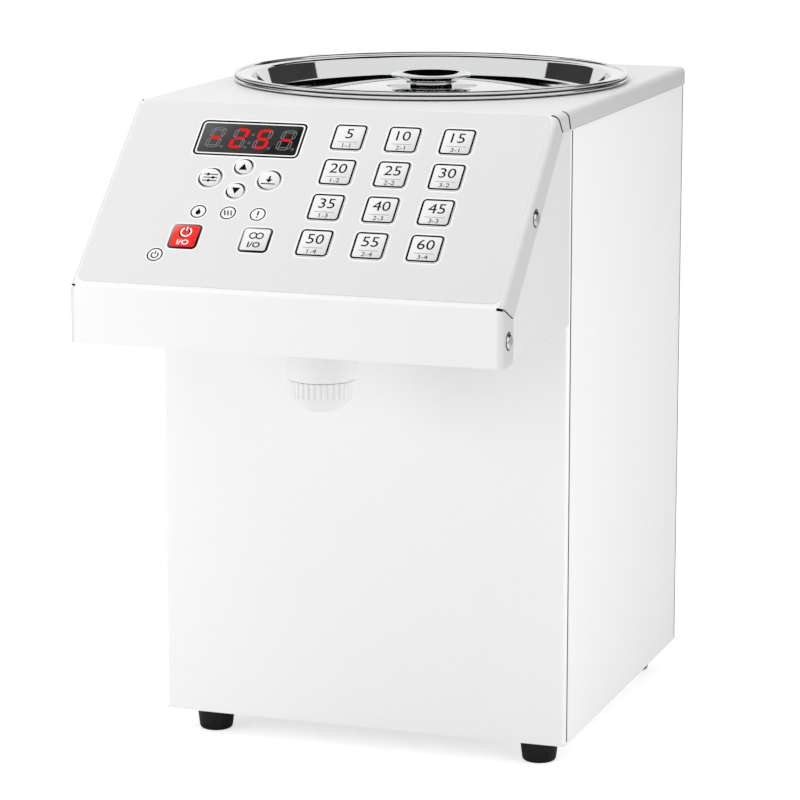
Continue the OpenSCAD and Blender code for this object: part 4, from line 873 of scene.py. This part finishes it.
# %% [markdown]
# ## The display
# Behind smoked acrylic sit four seven-segment digits. A segment is a bar with pointed ends, and the
# digits lean by eight degrees. Unlit segments stay faintly visible, and the lit ones glow red: here they
# show 25 between two dashes, a plain number.

# %% The smoked window
WINDOW_T = 0.9
window = bmesh.new()
top = raise_face(window, [rounded_face(window, WINDOW_W, WINDOW_L, 1.4)], WINDOW_T)[0]
bevel(window, list(top.edges), 0.2, 2)
close(window)
window_place = on_slope(*DISPLAY)
window_piece = add_piece("smoked_window", window, "case", [smoked_with_painted_glare], window_place)
# The number for the window's painted glare: 0 at the upper left, 1 at the lower right.
shade_across(window_piece, window_place, WINDOW_W)
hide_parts("display_window")
print("window:", WINDOW_W, "by", WINDOW_L, "mm")


# %% Seven-segment digits
DIGIT_H, DIGIT_W, STROKE, LEAN, PITCH_X = 15.6, 9.2, 2.1, math.tan(math.radians(8)), 15.3
DIGITS_X, DOT_R = 0.6, 0.9
LIT = {0: "g", 1: "abged", 2: "afgcd", 3: "g"}


def segment(bm, centre, length, upright, digit_x, lights):
    """A segment with pointed ends, leaning with its digit: a lit bar, or only the outline of a dark one."""
    half, tip = length / 2, STROKE / 2
    outline = [(-half, 0), (-half + tip, -tip), (half - tip, -tip),
               (half, 0), (half - tip, tip), (-half + tip, tip)]
    if upright:
        outline = [(-y, x) for x, y in outline]
    points = [(digit_x + centre[0] + x + (centre[1] + y) * LEAN, centre[1] + y, WINDOW_T)
              for x, y in outline]
    face = bm.faces.new([bm.verts.new(p) for p in points])
    face.normal_update()
    if lights:
        raise_face(bm, [face], PRINT)
    else:
        ring(bm, face, 0.42)


def dot(bm, x, y):
    """The outline of an unlit round dot."""
    ring(bm, round_face(bm, DOT_R, (x, y), WINDOW_T, 16), 0.3)


lit, unlit = bmesh.new(), bmesh.new()
across_l, up_l = DIGIT_W - STROKE, DIGIT_H / 2 - STROKE / 2
side_x, side_y = across_l / 2, DIGIT_H / 4
segments = {"a": (0, up_l), "g": (0, 0), "d": (0, -up_l),
            "f": (-side_x, side_y), "b": (side_x, side_y), "e": (-side_x, -side_y), "c": (side_x, -side_y)}
for number in range(4):
    x = (number - 1.5) * PITCH_X + DIGITS_X
    for letter, centre in segments.items():
        target = lit if letter in LIT[number] else unlit
        upright = letter in "fbec"
        segment(target, centre, (up_l if upright else across_l) - 0.2, upright, x, target is lit)
    dot(unlit, x + 5.6, DOT_R - DIGIT_H / 2)
for y in (-3.2, 3.2):
    dot(unlit, DIGITS_X + y * LEAN, y)
for name, bm, finish in (("lit_segments", lit, lit_segment), ("unlit_segments", unlit, unlit_segment)):
    close(bm)
    piece = add_piece(name, bm, "case", [finish], window_place)
    print(name, len(piece.data.polygons), "faces")

# %% [markdown]
# ## Tank, lid and knob
# These are spun and pressed from polished stainless steel, so each is a profile turned about the tank's
# axis. The rolled beads at the rims are what shows most: two bright rings, one on the other. The lid
# drops into a deep moat and rises again to a shallow dome.

# %% The tank
TANK_R, RIM_R, BEAD = 118.0, 127.5, 1.2
bead_at = RIM_R - BEAD
tank_points = [(8, -197), (59, -197), (119, -191), (119, 0.8), (bead_at - 0.6, 0.8)]
tank_points += arc(bead_at, 2.0, BEAD, -90, 180, 14)
tank_points += [(bead_at - BEAD, 1.8)] + arc(TANK_R + 2, -0.2, 2.0, 90, 180, 4) + [(TANK_R, -187)]
tank_points += arc(TANK_R - 4, -186, 4.0, 0, -80, 4)[1:] + [(59, -196), (8, -196)]
tank_piece = add_piece("spun_tank", spun(tank_points, 128, closed=True), "case",
                       [mirror_steel], on_tank(), sharp=50)
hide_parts("tank")
print("tank:", len(tank_piece.data.polygons), "faces")

# %% The lid
CROWN_R, DOME_FOOT, MOAT_LOW, CROWN = 34.0, 105.0, -9.7, -2.7
dome = [(CROWN_R + (DOME_FOOT - CROWN_R) * u / 16,
         MOAT_LOW + (CROWN - MOAT_LOW) * (0.5 + 0.5 * math.cos(math.pi * u / 16))) for u in range(17)]
lid_points = [(2.2, CROWN)] + dome + arc(110, MOAT_LOW + 3, 3.0, -90, -12, 5)
lid_points += arc(118, 2.3, 2.0, 168, 90, 5) + arc(bead_at, 4.7, BEAD, 180, -70, 14)
lid_skin = spun(lid_points, 128)
if min(lid_skin.faces, key=lambda f: f.calc_center_median().xy.length).normal.z < 0:
    bmesh.ops.reverse_faces(lid_skin, faces=lid_skin.faces)
lid_piece = add_piece("pressed_lid", lid_skin, "lid", [mirror_steel], on_tank(),
                      sharp=60)
lid_wall = lid_piece.modifiers.new("sheet", "SOLIDIFY")
lid_wall.thickness, lid_wall.offset = 0.7 * MM, -1.0
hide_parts("lid")
print("lid:", len(lid_piece.data.polygons), "faces before its thickness")

# %% The lid's seal and the painted shade of its groove
# A black seal fills the groove between the lid's bead and the tank's; its dark line is also painted shade of
# the groove.
seal_and_shade_points = [(bead_at + 0.2, 3.24), (bead_at + 0.6, 3.12), (bead_at + 0.85, 2.9), (bead_at + 0.95, 3.35),
               (bead_at + 0.85, 3.8), (bead_at + 0.6, 3.58), (bead_at + 0.2, 3.46)]
seal_and_shade_piece = add_piece("lid_seal_and_painted_groove_shade", spun(seal_and_shade_points, 128, closed=True), "lid",
                       [black_silicone], on_tank())
print("seal:", len(seal_and_shade_piece.data.polygons), "faces")

# %% The knob
KNOB_R, NECK_R, KNOB_H, DISH_D, DISH_EDGE = 26.3, 13.7, 7.0, 4.4, 60
DISH_R = (KNOB_R - 2.6) / math.sin(math.radians(DISH_EDGE))
knob_points = [(0, -3.8), (5, -3.8), (5, 0), (NECK_R + 1.2, 0)] + arc(NECK_R + 1.2, 1.2, 1.2, -90, -180, 4)
flare = KNOB_R - 0.6 - NECK_R
for a in range(10, 90, 10):
    c, s = math.cos(math.radians(a)), math.sin(math.radians(a))
    knob_points.append((KNOB_R - 0.6 - flare * c, (0.35 + 0.65 * (1 - c)) * KNOB_H - 1.2 * s))
knob_points += arc(KNOB_R - 0.6, KNOB_H - 0.6, 0.6, -80, 100, 6)
for a in range(DISH_EDGE, -1, -6):
    c, s = math.cos(math.radians(a)), math.sin(math.radians(a))
    rise = (1 - c) / (1 - math.cos(math.radians(DISH_EDGE)))
    knob_points.append((DISH_R * s, KNOB_H - DISH_D + DISH_D * rise))
knob_piece = add_piece("turned_knob", spun(knob_points, 96), "lid", [mirror_steel],
                       on_tank(TOP_Z + CROWN), sharp=40)
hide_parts("lid_knob")
print("knob is", 2 * KNOB_R, "mm wide")

# %% [markdown]
# ## Nozzle and collar
# The nozzle is white acetal: a smooth drum under the console, and a collar that unscrews, with a ribbed
# grip and a short cone. The ribs come from a circle whose points are drawn in by turns, extruded, with
# a bevel on the upright edges so that they catch the light softly.

# %% The nozzle's drum
NOZZLE_R, NOZZLE_H, GRIP_H = 20.7, 26.5, 9.7
drum_points = [(3.5, 26), (5, 26), (5, 12), (11.5, 12), (11.5, 0), (NOZZLE_R, 0)]
drum_points += arc(NOZZLE_R - 0.6, 0.6 - NOZZLE_H, 0.6, 0, -90, 4)
drum_points += [(15, -NOZZLE_H), (15, -35.2), (5, -35.2), (5, -NOZZLE_H), (3.5, 4 - NOZZLE_H)]
drum_place = Matrix.Translation((0, NOZZLE_Y, LIP_Z + 1))
drum = spun(drum_points, 96, closed=True)
nut = round_face(drum, 17.0, (0, 0), 1.0, 6)
raise_face(drum, [nut], 5.0)
bmesh.ops.recalc_face_normals(drum, faces=drum.faces)
drum_piece = add_piece("nozzle_drum", drum, "case", [acetal], drum_place)
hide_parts("nozzle_body")
print("drum:", len(drum_piece.data.polygons), "faces")

# %% The ribbed collar
RIBS, GROOVE, MOUTH_R = 36, 0.9, 15.3
collar = bmesh.new()
grip = bmesh.ops.create_circle(collar, cap_ends=False, segments=4 * RIBS, radius=NOZZLE_R)["verts"]
for i, v in enumerate(sorted(grip, key=lambda v: math.atan2(v.co.y, v.co.x))):
    if i % 4 in (2, 3):
        v.co *= (NOZZLE_R - GROOVE) / NOZZLE_R
bmesh.ops.translate(collar, vec=(0, 0, -GRIP_H), verts=draw_out(collar, list(collar.edges))[0])
uprights = [e for e in collar.edges if abs(e.verts[0].co.z - e.verts[1].co.z) > 1]
bevel(collar, uprights, 0.25, 2)
for height, radius, drop in ((0.0, MOUTH_R, 0), (-GRIP_H, 19.4, 0.5)):
    loop = [e for e in collar.edges if e.is_boundary and all(abs(v.co.z - height) < 0.01 for v in e.verts)]
    for v in draw_out(collar, loop)[0]:
        to_circle(v, radius, height - drop)
print("grip:", len(collar.faces), "faces,", RIBS, "ribs")

# %% The collar's cone and inside
def draw_on(bm, rim, steps):
    """Extrudes a boundary loop through (radius, height) steps."""
    for radius, height in steps:
        points, rim = draw_out(bm, rim)
        for v in points:
            to_circle(v, radius, height)
    return rim


lower_rim = [e for e in collar.edges if e.is_boundary and e.verts[0].co.z < -GRIP_H - 0.2]
upper_rim = [e for e in collar.edges if e.is_boundary and e.verts[0].co.z > -0.2]
cone = arc(11.6, -16.8, 1.4, -38, -90, 4)
lower_rim = draw_on(collar, lower_rim, cone + [(6.0, -18.2), (6.0, -10.0)])
upper_rim = draw_on(collar, upper_rim, [(MOUTH_R, -10.0)])
bmesh.ops.bridge_loops(collar, edges=lower_rim + upper_rim)
close(collar)
collar_piece = add_piece("ribbed_collar", collar, "nozzle_collar", [acetal],
                         Matrix.Translation((0, NOZZLE_Y, LIP_Z + 1 - NOZZLE_H - 0.3)), sharp=50)
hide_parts("nozzle_collar")
print("collar:", len(collar_piece.data.polygons), "faces")

# %% [markdown]
# ## Screws
# Four bright screws hold the cover to the console, four smaller ones the back. Each has a domed head
# with a cross pressed into it: the head's profile is spun, its flat crown is filled round a cross-shaped
# outline, and the cross is pushed in and drawn together at its bottom.


# %% One cross-recessed screw
SHANK_R = 2


def add_screw(bm, radius, height, length, place):
    """Adds a screw with its head standing on Z = 0 of a place, on a thin black ring of painted shadow."""
    crown = [(radius * math.cos(math.radians(a)), height * (0.3 + 0.7 * math.sin(math.radians(a))))
             for a in (66, 50, 32, 14, 0)]
    screw = spun(crown + [(radius, 0), (SHANK_R, 0), (SHANK_R, -length), (0, -length)], 24)
    rim = [e for e in screw.edges if e.is_boundary]
    top, half, reach = height * 0.94, 0.13 * radius, 0.36 * radius
    points = []
    for turn in range(4):
        spin = Matrix.Rotation(math.radians(90 * turn), 3, "Z")
        points += [spin @ Vector((x, y, top)) for x, y in ((reach, -half), (reach, half), (half, half))]
    cross = [screw.verts.new(p) for p in points]
    cross_edges = [screw.edges.new(pair) for pair in zip(cross, cross[1:] + cross[:1])]
    bmesh.ops.triangle_fill(screw, use_beauty=True, use_dissolve=False, edges=rim + cross_edges)
    bottom, bottom_edges = draw_out(screw, cross_edges)
    for v in bottom:
        v.co = Vector((v.co.x * 0.6, v.co.y * 0.6, v.co.z - 0.5 * height))
    bmesh.ops.edgeloop_fill(screw, edges=bottom_edges)
    close(screw)
    put_into(bm, screw, place)
    # The thin black ring round the head is painted shadow.
    shadow_ring = bmesh.new()
    raise_face(shadow_ring, [round_face(shadow_ring, radius + 0.7, segments=32)], 0.25)
    for f in shadow_ring.faces:
        f.material_index = 1
    put_into(bm, shadow_ring, place)


# %% Cover screws and rear screws
cover_screws, rear_screws = bmesh.new(), bmesh.new()
for side in (-1, 1):
    on_flange = on_slope(side * FLANGE_X, 69.9, -11.1).translation
    on_lip = (side * FLANGE_X, LIP_Y + 11.5, LIP_Z + 14.7)
    for centre in (on_flange, on_lip):
        add_screw(cover_screws, 4.8, 2.0, 8.0, Matrix.Translation(centre) @ sideways(side))
    backwards = Matrix.Rotation(math.radians(-90), 4, "X")
    for y, z in ((BACK_Y - 1, PAN_Z + 6), (BACK_Y, TOP_Z - 7.75)):
        add_screw(rear_screws, 3.2, 2.0, 7.0, Matrix.Translation((side * 110, y, z)) @ backwards)
for name, bm, node in (("cross_screws", cover_screws, "cover_screws"),
                       ("small_screws", rear_screws, "rear_screws")):
    piece = add_piece(name, bm, "case", [screw_steel, black_plastic], sharp=28)
    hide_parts(node)
    print(name, len(piece.data.polygons), "faces")

# %% [markdown]
# ## Feet
# Four black rubber feet, a little narrower at the sole, with the screw's recess below. Their profile is
# spun and their edges are rounded, as moulded rubber is.

# %% Feet
foot_points = [(2.1, 8), (6.5, 8), (6.5, 1)] + arc(7.3, 0.8, 0.8, 180, 270, 3)
foot_points += arc(8.4, 2.4, 2.4, -90, -4, 6) + arc(11.9, 16.7, 0.8, 0, 90, 4) + [(2.1, 17.5)]
feet = bmesh.new()
for x in (-110, 110):
    for y in (FRONT_Y + 25, BACK_Y - 26):
        put_into(feet, spun(foot_points, 48, closed=True), Matrix.Translation((x, y, 0)))
feet_piece = add_piece("rubber_feet", feet, "case", [foot_rubber])
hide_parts("feet")
print("feet:", len(feet_piece.data.polygons), "faces")

# %% [markdown]
# ## Marks on the mains switch
# The rocker keeps its solid. Its two faces meet in a shallow vee, and each gets its plain sign, a line
# for on above and a ring for off below, printed in white. They tip with the rocker.

# %% Signs on the rocker
AXLE, VEE, TIP = Vector((80.0, 202.25, 93.5)), math.degrees(math.atan2(1.6, 9)), 8.0
VEE_OUT, SIGN_UP = 1.8, 4.6
tipped = Matrix.Rotation(math.radians(-TIP), 4, "X")
to_rear = Matrix.Rotation(math.radians(180), 4, "Z") @ Matrix.Rotation(math.radians(90), 4, "X")
signs = bmesh.new()
for up in (1, -1):
    sign = bmesh.new()
    if up > 0:
        bar(sign, 1.0, 4.2, (0, 0), 0.0, 0)
    else:
        broken_ring(sign, 2.2, 0.7, 0.5, (0, 0), 0.0, 0)
    on_vee = Matrix.Translation(AXLE + tipped @ Vector((0, VEE_OUT, 0)))
    lean = Matrix.Rotation(math.radians(-VEE * up - TIP), 4, "X")
    put_into(signs, sign, on_vee @ lean @ to_rear @ Matrix.Translation((0, up * SIGN_UP, 0.02)))
close(signs)
signs_piece = add_piece("rocker_signs", signs, "rocker_switch", [ink_white])
signs_low = min(v.co.y for v in signs_piece.data.vertices) / MM
rocker_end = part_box("rocker_switch")[1].y / MM
print("signs start at y =", round(signs_low, 2), "mm, the rocker ends at", round(rocker_end, 2))

# %% [markdown]
# ## Finishes of the solids that stay
# Everything else keeps its solid: the flat panels and the works inside. Each gets the finish of what it
# is made of, and a print shows that none was forgotten.

# %% Finishes by node
finishes = {
    powder_coat: ["front_panel", "left_side_panel", "right_side_panel", "rear_panel", "base_pan"],
    tray_coat_painted_shade: ["console_tray"],
    galvanised: ["pump_bracket", "power_supply"],
    screw_steel: ["foot_screws", "board_standoffs", "tank_outlet"],
    cast_metal: ["pump_housing", "pump_cover"],
    gear_steel: ["drive_gear", "driven_gear"],
    motor_paint: ["pump_motor"],
    board_green: ["keypad_board", "control_board"],
    black_plastic: ["power_inlet", "rocker_switch", "keypad_switches"],
    display_plastic: ["display_module"],
    led_red: ["indicator_leds"],
    silicone: ["nozzle_valve"],
    black_silicone: ["tank_gasket"],
    hose_rubber: ["suction_hose", "delivery_hose"],
    phenolic: ["thermostat"],
    mica_band: ["heater_band"],
    foam: ["insulation_sleeve"],
}
for finish, names in finishes.items():
    for name in names:
        slots = nodes[name].data.materials
        if len(slots) == 0:
            slots.append(finish)
        for index in range(len(slots)):
            slots[index] = finish
bare = sorted(n for n, o in nodes.items() if not o.hide_render and n not in sum(finishes.values(), []))
print("solids without a finish:", bare)

# %% [markdown]
# ## Floor, world and lamps
# The photograph is lit like most product pictures: white all round, with the light coming mostly from
# the front and above. The floor is pale and keeps the object's shadow. To the camera, and in mirrors,
# the world is plain white, while the light it gives the object is held lower. Polished steel has no
# colour of its own: in a white room it would vanish, so dark cards hang where its dark shapes come from.

# %% Floor
floor_mesh = bpy.data.meshes.new("floor")
floor_bm = bmesh.new()
bmesh.ops.create_grid(floor_bm, x_segments=1, y_segments=1, size=30.0)
floor_bm.to_mesh(floor_mesh)
floor_bm.free()
floor = new_object("floor", floor_mesh)
floor_material, tree, shader = start_material("pale_floor", roughness=0.9, gloss=0.1)
shader.inputs["Base Color"].default_value = linear("#E8E8E8")
path = add_node(tree, "LightPath")
glow = add_node(tree, "Math", {"operation": "MULTIPLY"}, i0=path.outputs["Is Camera Ray"], i1=0.63)
shader.inputs["Emission Color"].default_value = (1, 1, 1, 1)
tree.links.new(glow.outputs[0], shader.inputs["Emission Strength"])
floor_mesh.materials.append(floor_material)
print("floor is", floor.dimensions.x, "m wide")

# %% World
world = bpy.data.worlds.new("studio")
bpy.context.scene.world = world
world.use_nodes = True
tree = world.node_tree
path = add_node(tree, "LightPath")
seen = path.outputs["Is Camera Ray"]
for ray in ("Is Glossy Ray", "Is Transmission Ray"):
    seen = add_node(tree, "Math", {"operation": "MAXIMUM"}, i0=seen, i1=path.outputs[ray]).outputs[0]
level = add_node(tree, "MapRange", i0=seen, i3=0.47, i4=1.0)
background = tree.nodes["Background"]
background.inputs["Color"].default_value = (1, 1, 1, 1)
tree.links.new(level.outputs[0], background.inputs["Strength"])
print("world is ready")


# %% Lamps
def add_lamp(name, place, aim, size, power):
    """A square soft box of a size in metres, aimed at a point."""
    data = bpy.data.lights.new(name, "AREA")
    data.size, data.energy = size, power
    lamp = new_object(name, data)
    lamp.location = place
    lamp.rotation_euler = (Vector(aim) - Vector(place)).to_track_quat("-Z", "Y").to_euler()
    lamp.visible_camera = lamp.visible_glossy = False


add_lamp("left_box", (-0.75, -0.8, 0.3), (0, -0.07, 0.2), 0.6, 4.3)
add_lamp("right_box", (1.0, -0.3, 0.35), (0.13, 0.05, 0.2), 0.6, 4.6)
add_lamp("top_box", (-0.2, -0.25, 1.5), (0, -0.05, 0.4), 1.2, 8.6)


# %% Dark cards for the polished steel
def add_card(name, corners, material):
    """A dark card that only mirrors see: it takes no light from the object."""
    sheet = bmesh.new()
    sheet.faces.new([sheet.verts.new(corner) for corner in corners])
    mesh = bpy.data.meshes.new(name)
    sheet.to_mesh(mesh)
    sheet.free()
    mesh.materials.append(material)
    card = new_object(name, mesh)
    card.visible_camera = card.visible_diffuse = card.visible_shadow = card.visible_transmission = False


card_black = grained("black_velour_card", "#0C0C0C", "#080808", 5.0, 0.01, 0.9, gloss=0.0)
card_grey = grained("grey_velour_card", "#565656", "#4C4C4C", 5.0, 0.01, 0.9, gloss=0.0)
add_card("top_card", [(-2.0, -1.0, 2.6), (2.0, -1.0, 2.6), (2.0, 4.2, 2.6), (-2.0, 4.2, 2.6)], card_black)
for name, near, far in (("right_card", (1.67, 0.61), (0.64, 1.66)),
                        ("left_card", (-1.7, -0.52), (-1.53, 0.92))):
    add_card(name, [(*near, 0.36), (*near, 1.3), (*far, 1.3), (*far, 0.36)], card_grey)

view = bpy.context.scene.view_settings
view.view_transform = "Standard"
print("view transform:", view.view_transform)
